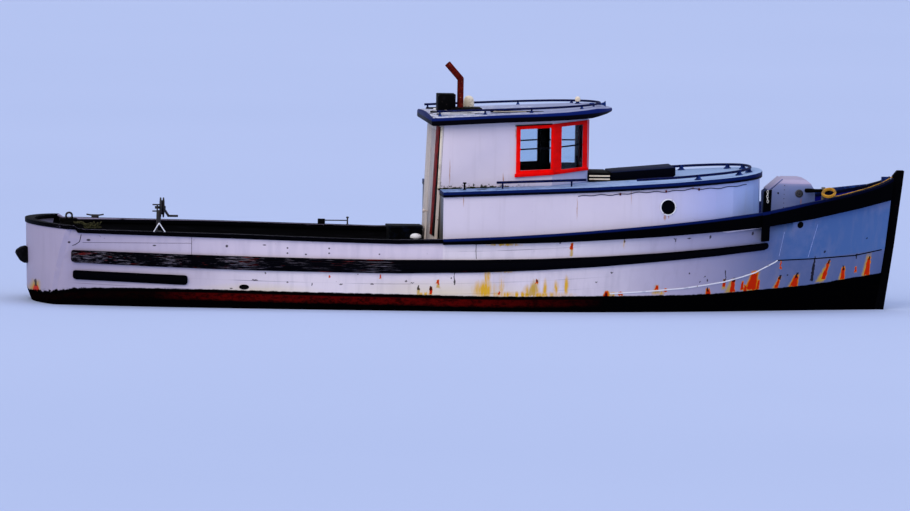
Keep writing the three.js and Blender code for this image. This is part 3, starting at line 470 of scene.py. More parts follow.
# %% [markdown]
# ## Topside paint
# The hull is planked in wood and brushed with white oil paint, black below the boot top. Oil
# paint that has stood in the weather is half glossy, a little violet in this light, and
# blotched with dirt that runs down. Iron fastenings weep through it: a hard red core with an
# orange rim, inside a wider gold stain, each weep wide at its foot and pointed at the top. The
# weeps stand where they stand on the real boat. A narrow band of old dark red shows under the
# paint line amidships.

# %% Weeps of rust
# Pointed weeps: foot along, foot height, half width, height and forward lean, in metres.
RUST_FLAMES = (
    (3.824, 0.290, 0.027, 0.147, 0.37), (4.053, 0.304, 0.057, 0.153, 0.29),
    (4.442, 0.394, 0.032, 0.238, 0.30), (4.691, 0.387, 0.035, 0.165, 0.07),
    (5.009, 0.437, 0.040, 0.233, 0.12), (4.863, 0.474, 0.016, 0.074, 0.00),
    (3.499, 0.274, 0.080, 0.236, 0.22), (3.258, 0.247, 0.040, 0.169, 0.09),
    (3.383, 0.269, 0.024, 0.114, 0.07), (3.583, 0.279, 0.022, 0.120, 0.17),
    (3.146, 0.317, 0.024, 0.087, 0.03), (2.945, 0.213, 0.042, 0.086, -0.09),
    (2.278, 0.278, 0.030, 0.063, 0.14), (2.393, 0.258, 0.022, 0.040, 0.00),
    (1.632, 0.198, 0.042, 0.069, 0.06), (1.815, 0.210, 0.037, 0.049, 0.00),
    (1.176, 0.789, 0.024, 0.092, 0.09), (0.750, 0.357, 0.020, 0.058, 0.12),
    (-1.835, 0.405, 0.014, 0.030, 0.00), (-1.200, 0.400, 0.016, 0.044, 0.00),
    (0.288, 0.225, 0.016, 0.038, 0.13), (-0.485, 0.344, 0.024, 0.048, 0.06),
    (-0.568, 0.213, 0.022, 0.100, 0.00), (-5.414, 0.140, 0.037, 0.084, -0.06),
    (3.876, 0.531, 0.015, 0.101, 0.01), (3.423, 0.243, 0.027, 0.095, 0.04),
)
GOLD_FLAMES = (
    (4.386, 0.350, 0.065, 0.258, 0.48), (4.985, 0.425, 0.057, 0.314, 0.18),
    (3.481, 0.255, 0.112, 0.271, 0.31), (3.203, 0.235, 0.067, 0.192, 0.35),
    (1.178, 0.700, 0.027, 0.196, 0.02), (0.682, 0.201, 0.082, 0.231, 0.32),
    (2.277, 0.240, 0.050, 0.114, 0.06), (3.145, 0.278, 0.035, 0.152, 0.02),
    (4.038, 0.298, 0.077, 0.176, 0.40), (-0.480, 0.289, 0.032, 0.107, 0.00),
    (-0.724, 0.199, 0.027, 0.106, 0.00), (-0.571, 0.200, 0.032, 0.113, 0.05),
    (-5.430, 0.140, 0.075, 0.158, 0.10), (1.638, 0.185, 0.062, 0.095, 0.00),
    (3.813, 0.281, 0.045, 0.169, 0.43), (4.676, 0.378, 0.050, 0.187, 0.19),
)
DARK_FLAMES = (
    (4.287, 0.371, 0.021, 0.319, 0.12), (3.868, 0.395, 0.017, 0.065, 0.23),
    (4.089, 0.418, 0.019, 0.062, 0.21), (4.503, 0.589, 0.020, 0.054, 0.28),
    (4.701, 0.511, 0.014, 0.059, 0.05), (5.033, 0.632, 0.015, 0.044, 0.20),
    (3.272, 0.376, 0.020, 0.055, 0.07), (2.935, 0.254, 0.017, 0.057, 0.00),
    (3.149, 0.366, 0.016, 0.050, 0.00), (-0.275, 0.327, 0.009, 0.172, -0.03),
    (0.757, 0.380, 0.012, 0.040, 0.03), (-0.725, 0.266, 0.015, 0.053, 0.02),
    (-0.569, 0.261, 0.016, 0.062, 0.02), (-5.420, 0.206, 0.016, 0.086, 0.00),
    (3.165, 0.398, 0.009, 0.132, -0.06), (4.867, 0.647, 0.014, 0.065, 0.00),
    (1.632, 0.198, 0.015, 0.046, 0.07),
)
# Soft patches and spots: along, height, half width, half height.
YELLOW_PATCHES = (
    (0.096, 0.275, 0.190, 0.150), (0.135, 0.420, 0.050, 0.260), (0.315, 0.330, 0.046, 0.200),
    (0.690, 0.265, 0.130, 0.110), (0.858, 0.300, 0.044, 0.150), (1.000, 0.300, 0.040, 0.130),
    (1.126, 0.320, 0.036, 0.180), (0.600, 0.215, 0.760, 0.056), (0.330, 0.842, 0.300, 0.024),
    (1.700, 0.225, 0.128, 0.040), (2.300, 0.240, 0.112, 0.040), (4.450, 0.420, 0.064, 0.070),
    (3.540, 0.290, 0.150, 0.070), (-0.650, 0.215, 0.096, 0.030), (0.330, 0.500, 0.200, 0.012),
    (1.847, 0.860, 0.022, 0.080),
)
DARK_SPOTS = (
    (2.692, 0.490, 0.018, 0.016), (1.696, 0.499, 0.026, 0.014), (1.505, 0.377, 0.016, 0.016),
    (2.836, 0.376, 0.016, 0.016), (2.932, 0.394, 0.016, 0.024), (2.898, 0.441, 0.018, 0.014),
    (3.972, 0.451, 0.018, 0.016), (4.361, 0.739, 0.022, 0.020), (1.034, 0.870, 0.016, 0.014),
    (2.660, 0.930, 0.034, 0.011), (2.080, 0.950, 0.040, 0.010), (-4.900, 0.735, 0.030, 0.014),
    (-2.350, 0.335, 0.020, 0.014), (-1.300, 0.330, 0.030, 0.012), (-0.314, 0.418, 0.014, 0.014),
    (-0.800, 0.352, 0.034, 0.010), (4.860, 0.900, 0.016, 0.014), (3.376, 0.985, 0.018, 0.034),
    (2.905, 0.946, 0.015, 0.034), (2.490, 0.925, 0.032, 0.012), (2.490, 0.905, 0.012, 0.036),
    (1.847, 0.900, 0.010, 0.040), (2.170, 0.955, 0.030, 0.010), (-2.755, 0.358, 0.060, 0.012),
    (-1.686, 0.322, 0.034, 0.016), (-0.881, 0.370, 0.024, 0.018), (-2.627, 0.447, 0.018, 0.014),
    (-2.049, 0.312, 0.012, 0.030), (-1.478, 0.454, 0.014, 0.012), (-3.045, 0.250, 0.030, 0.012),
)


# How fast a weep's strength falls: across it, across it at its tip, above it, below its foot.
ACROSS, SLIMMING, TIP, BELOW = 2.2, 0.9, 3, 60.0
FOOT_STRENGTH = 0.4


def flames(tree, x, z, marks):
    """Pointed weeps, joined into one strength: each stands on its foot and narrows upward."""
    whole = None
    for foot, low, wide, tall, lean in marks:
        narrow = add(tree, "Math", {
            0: z, 1: -SLIMMING / tall, 2: ACROSS + SLIMMING * low / tall,
        }, operation="MULTIPLY_ADD")
        top = add(tree, "Math", {0: z, 1: -TIP / tall, 2: TIP + TIP * low / tall},
                  operation="MULTIPLY_ADD")
        middle = add(tree, "Math", {0: z, 1: -lean, 2: lean * low - foot},
                     operation="MULTIPLY_ADD")
        off = add(tree, "Math", {0: add(tree, "Math", {0: x, 1: middle}, operation="ADD")},
                  operation="ABSOLUTE")
        body = add(tree, "Math", {0: off, 1: -ACROSS / wide, 2: narrow},
                   operation="MULTIPLY_ADD")
        sill = add(tree, "Math", {0: z, 1: BELOW, 2: FOOT_STRENGTH - BELOW * low},
                   operation="MULTIPLY_ADD")
        for limit in (top, sill):
            body = add(tree, "Math", {0: body, 1: limit}, operation="MINIMUM")
        whole = body if whole is None else add(
            tree, "Math", {0: whole, 1: body}, operation="MAXIMUM"
        )
    return whole


print("weeps:", len(RUST_FLAMES), "red,", len(GOLD_FLAMES), "gold,", len(DARK_FLAMES), "dark")

# %% Topside paint, material
def where_all(tree, ranges):
    """Where several patterns are all in range. A range is (pattern, low, high, least): its
    share climbs from `least` to 1 from low to high. The shares are multiplied."""
    whole = 1.0
    for pattern, low, high, least in ranges:
        share = add(tree, "MapRange", {"Value": pattern, "From Min": low, "From Max": high,
                                       "To Min": least})
        whole = add(tree, "Math", {0: whole, 1: share}, operation="MULTIPLY")
    return whole


def in_coats(tree, first, coats):
    """Paint in coats over a first tone. A coat is (pattern, low, high, most, tone): it comes
    in while the pattern goes from low to high, up to the share `most`."""
    laid_on = linear(first)
    for pattern, low, high, most, tone in coats:
        share = add(tree, "MapRange", {"Value": pattern, "From Min": low, "From Max": high,
                                       "To Max": most})
        laid_on = add(tree, "Mix", {0: share, 6: laid_on, 7: linear(tone)}, out=2,
                      data_type="RGBA")
    return laid_on


topside_paint, tree, shader, place = fresh("Topside_oil_paint", "#D6CEDD", 0.45)
x = add(tree, "SeparateXYZ", {0: place}, out=0)
z = add(tree, "SeparateXYZ", {0: place}, out=2)
# Streaks lean aft on the flared bow, so the whole pattern is sheared there.
bow_share = add(tree, "MapRange", {"Value": x, "From Min": 2.2, "From Max": 4.3},
                interpolation_type="SMOOTHERSTEP")
wobble = add(tree, "TexNoise", {
    "Vector": add(tree, "VectorMath", {0: place, 1: (60, 60, 20)}, operation="MULTIPLY"),
    "Scale": 1.0, "Detail": 4.0,
}, out="Color")
shaken = add(tree, "VectorMath", {0: wobble, 1: (0.036, 0, 0.040), 2: place},
             operation="MULTIPLY_ADD")
slide = add(tree, "Math", {
    0: add(tree, "Math", {0: z, 1: 0.45}, operation="SUBTRACT"),
    1: add(tree, "Math", {0: bow_share, 1: -0.30}, operation="MULTIPLY"),
}, operation="MULTIPLY")
shaken = add(tree, "VectorMath", {
    0: shaken, 1: add(tree, "CombineXYZ", {0: slide}),
}, operation="ADD")
shaken = add(tree, "VectorMath", {0: shaken, 1: (-0.018, 0, -0.020)}, operation="ADD")
broad = add(tree, "TexNoise", {"Vector": place, "Scale": 1.1, "Detail": 6.0,
                               "Roughness": 0.62})
runs = add(tree, "TexNoise", {
    "Vector": add(tree, "VectorMath", {0: place, 1: (9, 9, 0.9)}, operation="MULTIPLY"),
    "Scale": 1.0, "Detail": 5.0, "Roughness": 0.6,
})
# Clean paint is lavender white; towards the bow it is painted bluer and darker as shade and
# sky reflection, where the flared bow turns away from the light.
shoulder_shade = add(tree, "MapRange", {"Value": x, "From Min": 1.0, "From Max": 2.9},
               interpolation_type="SMOOTHSTEP")
bow_plate_and_shade = where_all(tree, (
    (above_line(tree, x, z, PLATE_SEAM), -0.004, 0.004, 0), (bow_share, 0, 1, 0),
    (x, 3.50, 4.00, 0),
))
patchy = add(tree, "MapRange", {"Value": broad, "From Min": 0.45, "From Max": 0.72,
                                "To Max": 0.35})
# Plank seams: dark hair lines parallel to the rub strake, one plank or 133 mm apart.
under_strake = above_line(tree, x, z, STRAKE_LINE)
seam_at = add(tree, "Math", {0: under_strake, 1: 0.0665, 2: -0.0665}, operation="WRAP")
off_seam = add(tree, "Math", {0: seam_at}, operation="ABSOLUTE")
opened = add(tree, "TexNoise", {
    "Vector": add(tree, "VectorMath", {0: place, 1: (1.6, 1, 7)}, operation="MULTIPLY"),
    "Scale": 1.0, "Detail": 4.0,
})
opened = add(tree, "MapRange", {"Value": opened, "From Min": 0.42, "From Max": 0.60,
                                "To Min": 0.06, "To Max": 0.60})
seam = where_all(tree, ((off_seam, 0.0055, 0.0015, 0), (opened, 0, 1, 0), (x, 1.8, 0.6, 0),
                        (x, -5.05, -4.85, 0)))
# Scars: chips where the grey wood shows.
chips = add(tree, "TexNoise", {"Vector": place, "Scale": 26.0, "Detail": 5.0,
                               "Roughness": 0.7})
drip_lines = add(tree, "TexNoise", {
    "Vector": add(tree, "VectorMath", {0: place, 1: (30, 30, 1.4)}, operation="MULTIPLY"),
    "Scale": 1.0, "Detail": 4.0,
})
torn = add(tree, "VectorMath", {0: wobble, 1: (0.040, 0, 0.060), 2: place},
           operation="MULTIPLY_ADD")
torn = add(tree, "VectorMath", {0: torn, 1: (-0.020, 0, -0.030)}, operation="ADD")
torn_x = add(tree, "SeparateXYZ", {0: torn}, out=0)
torn_z = add(tree, "SeparateXYZ", {0: torn}, out=2)
drips = add(tree, "MapRange", {"Value": drip_lines, "From Min": 0.36, "From Max": 0.58,
                               "To Min": 0.15})
# Old dirt has turned the lowest planks cream where the black begins.
cream = streaks(tree, shaken, ((-0.400, 0.230, 1.300, 0.200), (-2.700, 0.220, 0.900, 0.110)))
yellow = add(tree, "Math", {0: streaks(tree, shaken, YELLOW_PATCHES), 1: drips},
             operation="MULTIPLY")
gold = flames(tree, torn_x, torn_z, GOLD_FLAMES)
rust = flames(tree, torn_x, torn_z, RUST_FLAMES)
dark = add(tree, "Math", {
    0: add(tree, "MapRange", {"Value": streaks(tree, shaken, DARK_SPOTS),
                              "From Min": 0.18, "From Max": 0.45, "To Max": 0.85}),
    1: add(tree, "MapRange", {"Value": flames(tree, torn_x, torn_z, DARK_FLAMES),
                              "From Min": 0.06, "From Max": 0.30, "To Max": 0.92}),
}, operation="MAXIMUM")
# The shoulder, bow and plate coats are painted shade and sky reflection; the plate above its
# seam is partly its own darker tone and partly shade.
white = in_coats(tree, "#A9A0B6", (
    (x, -4.9, -2.2, 1, "#E4DAE0"), (shoulder_shade, 0, 1, 1, "#AEA7BD"),
    (bow_share, 0, 1, 1, "#5A6890"), (bow_plate_and_shade, 0, 1, 1, "#4C6A9C"),
    (runs, 0.50, 0.80, 0.28, "#8B8799"), (patchy, 0, 1, 1, "#AEA3B4"),
    (seam, 0, 1, 1, "#3B3550"), (chips, 0.70, 0.73, 0.8, "#6B5C5A"),
    (cream, 0, 1, 0.55, "#DCCB92"), (yellow, 0.04, 0.62, 0.95, "#E0AA02"),
    (gold, 0.05, 1.10, 0.8, "#C29A14"), (rust, 0.02, 0.12, 1, "#D87A08"),
    (rust, 0.30, 0.60, 1, "#C42604"), (dark, 0, 1, 1, "#140A0A"),
))
# Under the paint line: black, with the band of old dark red amidships.
over_water = above_line(tree, x, z, PAINT_LINE)
edge_noise = add(tree, "TexNoise", {
    "Vector": add(tree, "VectorMath", {0: place, 1: (14, 14, 24)}, operation="MULTIPLY"),
    "Scale": 1.0, "Detail": 6.0, "Roughness": 0.7,
})
# The edge is cut clean along the side and ragged on the stern, where the black has run.
ragged = add(tree, "MapRange", {"Value": x, "From Min": -4.7, "From Max": -5.1,
                                "To Min": 0.030, "To Max": 0.150})
edge = add(tree, "Math", {
    0: add(tree, "Math", {0: edge_noise, 1: 0.5}, operation="SUBTRACT"), 1: ragged,
    2: over_water,
}, operation="MULTIPLY_ADD")
black_share = add(tree, "MapRange", {"Value": edge, "From Min": 0.004, "From Max": -0.004})
band = where_all(tree, (
    (edge, -0.037, -0.051, 0), (edge, -0.145, -0.110, 0), (x, -4.0, -3.1, 0.04),
    (x, 1.6, -0.2, 0), (edge_noise, 0.40, 0.56, 0.25),
))
bottom = in_coats(tree, "#020203", ((band, 0, 1, 1, "#4E0606"),))
tree.links.new(
    add(tree, "Mix", {0: black_share, 6: white, 7: bottom}, out=2, data_type="RGBA"),
    shader.inputs["Base Color"],
)
tree.links.new(
    add(tree, "Math", {0: patchy, 1: 0.35, 2: 0.36}, operation="MULTIPLY_ADD"),
    shader.inputs["Roughness"],
)
# The white keeps a trace of gloss; the black under it has gone dead matt.
tree.links.new(
    add(tree, "Math", {0: black_share, 1: -0.03, 2: 0.03}, operation="MULTIPLY_ADD"),
    shader.inputs["Specular IOR Level"],
)
# Brush marks and open seams, less than a millimetre deep.
brushed = add(tree, "Math", {
    0: add(tree, "TexNoise", {
        "Vector": add(tree, "VectorMath", {0: place, 1: (14, 14, 160)}, operation="MULTIPLY"),
        "Scale": 1.0, "Detail": 3.0,
    }),
    1: add(tree, "Math", {0: seam, 1: -2.5}, operation="MULTIPLY"),
}, operation="ADD")
tree.links.new(add(tree, "Bump", {"Height": brushed, "Strength": 0.5, "Distance": 0.0012}),
               shader.inputs["Normal"])
print("topside paint:", len(tree.nodes), "nodes")

# %% [markdown]
# ## White woodwork of the cabin and the wheelhouse
# The cabin trunk and the wheelhouse are plywood and boards under the same oil paint, but they
# are cleaner than the hull. Their forward ends are painted in a bluer, darker tone as shade,
# where they turn from the light to the sky, and rain draws faint brown runs down from the deck
# edge and from the porthole. One function makes this paint for each part, because only its
# tones and marks differ.

# %% White woodwork, material
def woodwork(name, aft_tone, fore_shade_tone, turn_from, turn_to, marks, foot=None, inside=None,
             lit_top_tone=None, aft_face_shade=None):
    """White boards: an aft tone and a bluer fore tone that is painted shade, dirt and brown
    weeps. On demand: moss at a foot line, near black on inner faces as painted shade, a
    lighter tone on sloping tops as painted light, and black on faces that look aft as
    painted shade."""
    made, tree, shader, place = fresh(name, aft_tone, 0.38, shine=0.1 if inside else 0.5)
    x = add(tree, "SeparateXYZ", {0: place}, out=0)
    z = add(tree, "SeparateXYZ", {0: place}, out=2)
    forward_shade = add(tree, "MapRange", {"Value": x, "From Min": turn_from, "From Max": turn_to},
                  interpolation_type="SMOOTHSTEP")
    broad = add(tree, "TexNoise", {"Vector": place, "Scale": 1.6, "Detail": 6.0})
    runs = add(tree, "TexNoise", {
        "Vector": add(tree, "VectorMath", {0: place, 1: (13, 13, 1.1)}, operation="MULTIPLY"),
        "Scale": 1.0, "Detail": 5.0,
    })
    wobble = add(tree, "TexNoise", {
        "Vector": add(tree, "VectorMath", {0: place, 1: (30, 30, 14)}, operation="MULTIPLY"),
        "Scale": 1.0, "Detail": 3.0,
    }, out="Color")
    shaken = add(tree, "VectorMath", {0: wobble, 1: (0.02, 0, 0.02), 2: place},
                 operation="MULTIPLY_ADD")
    shaken = add(tree, "VectorMath", {0: shaken, 1: (-0.01, 0, -0.01)}, operation="ADD")
    weep = streaks(tree, shaken, marks)
    # The fore tone is painted shade: forward ends turn from the light to the bluer sky.
    coats = [(forward_shade, 0, 1, 1, fore_shade_tone), (broad, 0.42, 0.75, 0.22, "#A8A0B8"),
             (runs, 0.55, 0.80, 0.14, "#8C7F86"), (weep, 0.05, 0.7, 0.75, "#A86A20")]
    if foot:
        low = add(tree, "Math", {0: x, 1: foot[1], 2: foot[0]}, operation="MULTIPLY_ADD")
        over = add(tree, "Math", {0: z, 1: low}, operation="SUBTRACT")
        tufts = add(tree, "TexNoise", {"Vector": place, "Scale": 34.0, "Detail": 4.0})
        over = add(tree, "Math", {0: tufts, 1: -0.30, 2: over}, operation="MULTIPLY_ADD")
        moss = where_all(tree, ((over, -0.100, -0.135, 0), (x, 0.75, 0.20, 0)))
        coats.append((moss, 0, 1, 1, "#23260F"))
    chips = add(tree, "TexNoise", {"Vector": place, "Scale": 38.0, "Detail": 5.0,
                                   "Roughness": 0.7})
    coats.append((chips, 0.70, 0.73, 0.7, "#5E5560"))
    faces = add(tree, "TexCoord", out="Normal")
    looks = [add(tree, "SeparateXYZ", {0: faces}, out=axis) for axis in range(3)]
    # Faces that look aft are painted black as shade.
    if aft_face_shade:
        coats.append((looks[0], -0.70, -0.85, 1, aft_face_shade))
    # A sloping top gets a lighter tone as painted light, where it faces the sky.
    if lit_top_tone:
        coats.append((looks[2], 0.25, 0.55, 1, lit_top_tone))
    # Inner faces are painted near black as the shade inside the house.
    if inside:
        side = add(tree, "Math", {
            0: add(tree, "Math", {0: add(tree, "SeparateXYZ", {0: place}, out=1)},
                   operation="SIGN"),
            1: looks[1],
        }, operation="MULTIPLY")
        outward = add(tree, "Math", {0: side, 1: looks[0]}, operation="MAXIMUM")
        coats.append((outward, 0.30, 0.20, 1, inside))
    tree.links.new(in_coats(tree, aft_tone, coats), shader.inputs["Base Color"])
    tree.links.new(add(tree, "Math", {0: broad, 1: 0.3, 2: 0.24}, operation="MULTIPLY_ADD"),
                   shader.inputs["Roughness"])
    brushed = add(tree, "TexNoise", {
        "Vector": add(tree, "VectorMath", {0: place, 1: (12, 12, 150)}, operation="MULTIPLY"),
        "Scale": 1.0, "Detail": 3.0,
    })
    tree.links.new(add(tree, "Bump", {"Height": brushed, "Strength": 0.4,
                                      "Distance": 0.001}), shader.inputs["Normal"])
    return made


CABIN_MARKS = (
    (2.350, 1.195, 0.024, 0.050), (2.400, 1.205, 0.012, 0.034), (-0.180, 1.380, 0.010, 0.090),
    (2.700, 1.560, 0.016, 0.024), (1.920, 1.490, 0.008, 0.160), (1.240, 1.300, 0.007, 0.180),
)
HOUSE_MARKS = (
    (0.360, 1.620, 0.010, 0.100), (0.510, 2.190, 0.010, 0.100), (-0.310, 1.700, 0.010, 0.200),
)
cabin_paint = woodwork("Cabin_oil_paint", "#D5CCD8", "#8C9FDA", 1.7, 3.7, CABIN_MARKS,
                       aft_face_shade="#070706")
# The trunk's front wears its own copy of the white, painted bluer and darker as the shade of a
# face that looks forward.
front_shaded_paint = woodwork("Cabin_front_shaded_paint", "#A4AED9", "#A2BCEC", 3.0, 3.7, CABIN_MARKS)
house_paint = woodwork("Wheelhouse_oil_paint", "#DAD1DE", "#B9BCDA", 1.0, 1.5, HOUSE_MARKS,
                       foot=(1.483, 0.040), inside="#020204")
print("woodwork paints:", cabin_paint.name, house_paint.name)

# %% [markdown]
# ## Black and navy timber
# Guards, strakes, cap rails and the stem are heavy timbers that take every knock. They are
# brushed black, or navy on the faces that look up. Where they rub, the paint is gone: first
# the edges and long grain marks go grey, then old red primer and bare wood show. The grain
# runs along the timber, so the noise is stretched along the boat.

# %% Timber paint, material
def timber(name, face, top, worn_tone, primer, wear, along=(1.6, 26, 60), gloss=0.38,
           worn_zone=None, arris_wear_and_highlight=None):
    """Painted timber: a face tone, a tone for what looks up, and wear through to primer.
    With an arris tone, the rounded upper edges are rubbed down to pale wood, and that pale
    line is also a painted highlight."""
    made, tree, shader, place = fresh(name, face, gloss, shine=0.008)
    looks_up = add(tree, "SeparateXYZ", {0: add(tree, "TexCoord", out="Normal")}, out=2)
    coats = [(looks_up, 0.35, 0.75, 1, top)]
    grain = add(tree, "TexNoise", {
        "Vector": add(tree, "VectorMath", {0: place, 1: along}, operation="MULTIPLY"),
        "Scale": 1.0, "Detail": 7.0, "Roughness": 0.68,
    })
    # The pale line on the rounded upper edges is partly worn wood and partly a painted
    # highlight.
    if arris_wear_and_highlight:
        rubbed_and_lit = where_all(tree, ((looks_up, 0.30, 0.45, 0), (looks_up, 0.97, 0.90, 0),
                                  (grain, 0.34, 0.46, 0)))
        coats.append((rubbed_and_lit, 0, 1, 1, arris_wear_and_highlight))
    patch = add(tree, "TexNoise", {"Vector": place, "Scale": 2.4, "Detail": 4.0})
    worn = add(tree, "Math", {0: patch, 1: 0.45, 2: grain}, operation="MULTIPLY_ADD")
    if worn_zone:
        x = add(tree, "SeparateXYZ", {0: place}, out=0)
        zone = add(tree, "MapRange", {"Value": x, "From Min": worn_zone[0],
                                      "From Max": worn_zone[1], "To Min": -0.16,
                                      "To Max": 0.05})
        worn = add(tree, "Math", {0: worn, 1: zone}, operation="ADD")
    bare = add(tree, "MapRange", {"Value": worn, "From Min": wear, "From Max": wear + 0.05,
                                  "To Max": 0.85})
    red = add(tree, "TexNoise", {
        "Vector": add(tree, "VectorMath", {0: place, 1: (3, 30, 50)}, operation="MULTIPLY"),
        "Scale": 1.0, "Detail": 5.0,
    })
    red = where_all(tree, ((red, 0.60, 0.66, 0), (worn, wear - 0.07, wear, 0)))
    coats += [(bare, 0, 1, 1, worn_tone), (red, 0, 1, 1, primer)]
    tree.links.new(in_coats(tree, face, coats), shader.inputs["Base Color"])
    tree.links.new(add(tree, "Math", {0: bare, 1: 0.35, 2: gloss}, operation="MULTIPLY_ADD"),
                   shader.inputs["Roughness"])
    tree.links.new(add(tree, "Bump", {
        "Height": add(tree, "Math", {0: bare, 1: -0.5, 2: grain}, operation="MULTIPLY_ADD"),
        "Strength": 0.6, "Distance": 0.002,
    }), shader.inputs["Normal"])
    return made


trim_paint = timber("Black_timber_paint", "#030305", "#08080C", "#5A5460", "#3A1210", 0.92,
                    gloss=0.5)
cap_paint = timber("Cap_rail_paint", "#030306", "#0B0A10", "#8A84A0", "#2A1A1A", 0.90,
                   along=(1.2, 40, 40), gloss=0.5, arris_wear_and_highlight="#A49CBC")
strake_paint = timber("Rub_strake_paint", "#040408", "#0C0C16", "#6E6872", "#6A1A16", 0.86,
                      along=(2.4, 60, 120), gloss=0.5, worn_zone=(0.9, -1.6))
fender_paint = timber("Short_fender_paint", "#030306", "#0A0A12", "#4A4650", "#3A1210", 0.94,
                      along=(2.4, 60, 120), gloss=0.5)
navy_paint = timber("Navy_deck_paint", "#04050C", "#0A1230", "#3C4060", "#0C1020", 0.94,
                    along=(1.2, 9, 40), gloss=0.45)
timber_paints = (trim_paint, cap_paint, strake_paint, fender_paint, navy_paint)
print("timber paints:", [paint.name for paint in timber_paints])

# %% [markdown]
# The sheer guard is black like the rest, but its upper edge, the width of two fingers, is
# picked out in navy. That edge follows the sheer, so it is painted by height above the sheer
# line, and it fades out on the bow, where the guard is black right up.

# %% Guard paint, material
guard_paint, tree, shader, place = fresh("Guard_paint", "#020204", 0.5, shine=0.008)
x = add(tree, "SeparateXYZ", {0: place}, out=0)
z = add(tree, "SeparateXYZ", {0: place}, out=2)
grain = add(tree, "TexNoise", {
    "Vector": add(tree, "VectorMath", {0: place, 1: (1.6, 26, 60)}, operation="MULTIPLY"),
    "Scale": 1.0, "Detail": 7.0, "Roughness": 0.68,
})
under_sheer = above_line(tree, x, z, SHEER_LINE)
uneven = add(tree, "Math", {0: grain, 1: 0.012, 2: under_sheer}, operation="MULTIPLY_ADD")
# The navy fades out forward, and the fender post that stands up past the guard is black.
top_strip = where_all(tree, ((uneven, -0.026, -0.014, 0), (x, 4.6, 4.0, 0.15),
                             (under_sheer, 0.014, 0.008, 0)))
tree.links.new(in_coats(tree, "#020204", (
    (top_strip, 0, 1, 1, "#0B184A"), (grain, 0.70, 0.74, 0.5, "#2E2C3A"),
)), shader.inputs["Base Color"])
tree.links.new(add(tree, "Bump", {"Height": grain, "Strength": 0.5, "Distance": 0.002}),
               shader.inputs["Normal"])
print("guard paint:", len(tree.nodes), "nodes")

# %% [markdown]
# ## Faces that look in and faces that look out
# A bulwark is white outside and dark inside. The paint follows the way the wall faces: on the
# starboard side what faces starboard is outside, on the port side what faces port is outside,
# so the sign of the place across the boat times the sign of the normal tells which it is.

# %% Bulwark paint, material
BULWARK_SPOTS = (
    (-3.114, 0.778, 0.022, 0.022), (-2.648, 0.799, 0.030, 0.010), (-2.362, 0.766, 0.016, 0.014),
    (-2.361, 0.701, 0.016, 0.014), (-1.845, 0.768, 0.016, 0.014), (-1.844, 0.707, 0.016, 0.014),
    (-2.132, 0.689, 0.018, 0.014), (-1.219, 0.703, 0.014, 0.012), (-4.009, 0.770, 0.030, 0.012),
    (-4.823, 0.823, 0.034, 0.018), (-5.060, 0.790, 0.024, 0.018),
)


def two_sided(name, outside, inside_aft, inside_bow):
    """White outside, and two dark tones inside: one aft, one in the bow."""
    made, tree, shader, place = fresh(name, outside, 0.42, shine=0.03)
    x = add(tree, "SeparateXYZ", {0: place}, out=0)
    y = add(tree, "SeparateXYZ", {0: place}, out=1)
    ny = add(tree, "SeparateXYZ", {0: add(tree, "TexCoord", out="Normal")}, out=1)
    outward = add(tree, "Math", {
        0: add(tree, "Math", {0: y}, operation="SIGN"), 1: ny,
    }, operation="MULTIPLY")
    outer = add(tree, "MapRange", {"Value": outward, "From Min": -0.05, "From Max": 0.05})
    runs = add(tree, "TexNoise", {
        "Vector": add(tree, "VectorMath", {0: place, 1: (9, 9, 1.2)}, operation="MULTIPLY"),
        "Scale": 1.0, "Detail": 6.0,
    })
    rusty = add(tree, "TexNoise", {"Vector": place, "Scale": 30.0, "Detail": 3.0})
    spots = streaks(tree, place, BULWARK_SPOTS)
    scuffs = add(tree, "TexNoise", {
        "Vector": add(tree, "VectorMath", {0: place, 1: (3, 20, 30)}, operation="MULTIPLY"),
        "Scale": 1.0, "Detail": 6.0,
    })
    white = in_coats(tree, "#A9A0B6", (
        (x, -5.15, -2.60, 1, outside), (runs, 0.45, 0.75, 0.3, "#9C94AC"),
        (rusty, 0.72, 0.75, 0.7, "#4A2A1A"), (spots, 0.10, 0.45, 0.9, "#140C10"),
    ))
    dark = in_coats(tree, inside_aft, (
        (x, 2.6, 3.4, 1, inside_bow), (scuffs, 0.55, 0.75, 0.5, "#16151C"),
    ))
    tree.links.new(add(tree, "Mix", {0: outer, 6: dark, 7: white}, out=2, data_type="RGBA"),
                   shader.inputs["Base Color"])
    tree.links.new(add(tree, "Bump", {"Height": scuffs, "Strength": 0.4,
                                      "Distance": 0.001}), shader.inputs["Normal"])
    return made


bulwark_paint = two_sided("Bulwark_oil_paint", "#DACEDA", "#030306", "#060A70")
print("bulwark paint:", bulwark_paint.name)

# %% [markdown]
# ## Decks, bottom and aft boards
# Deck planks are bare grey wood with black caulked seams, about 90 mm apart. Below the water
# the keel and rudder wear the same black as the hull's bottom, with slime and a few barnacles.
# The boards of the wheelhouse's aft wall are old white paint over upright boards, with nail
# heads that have rusted.

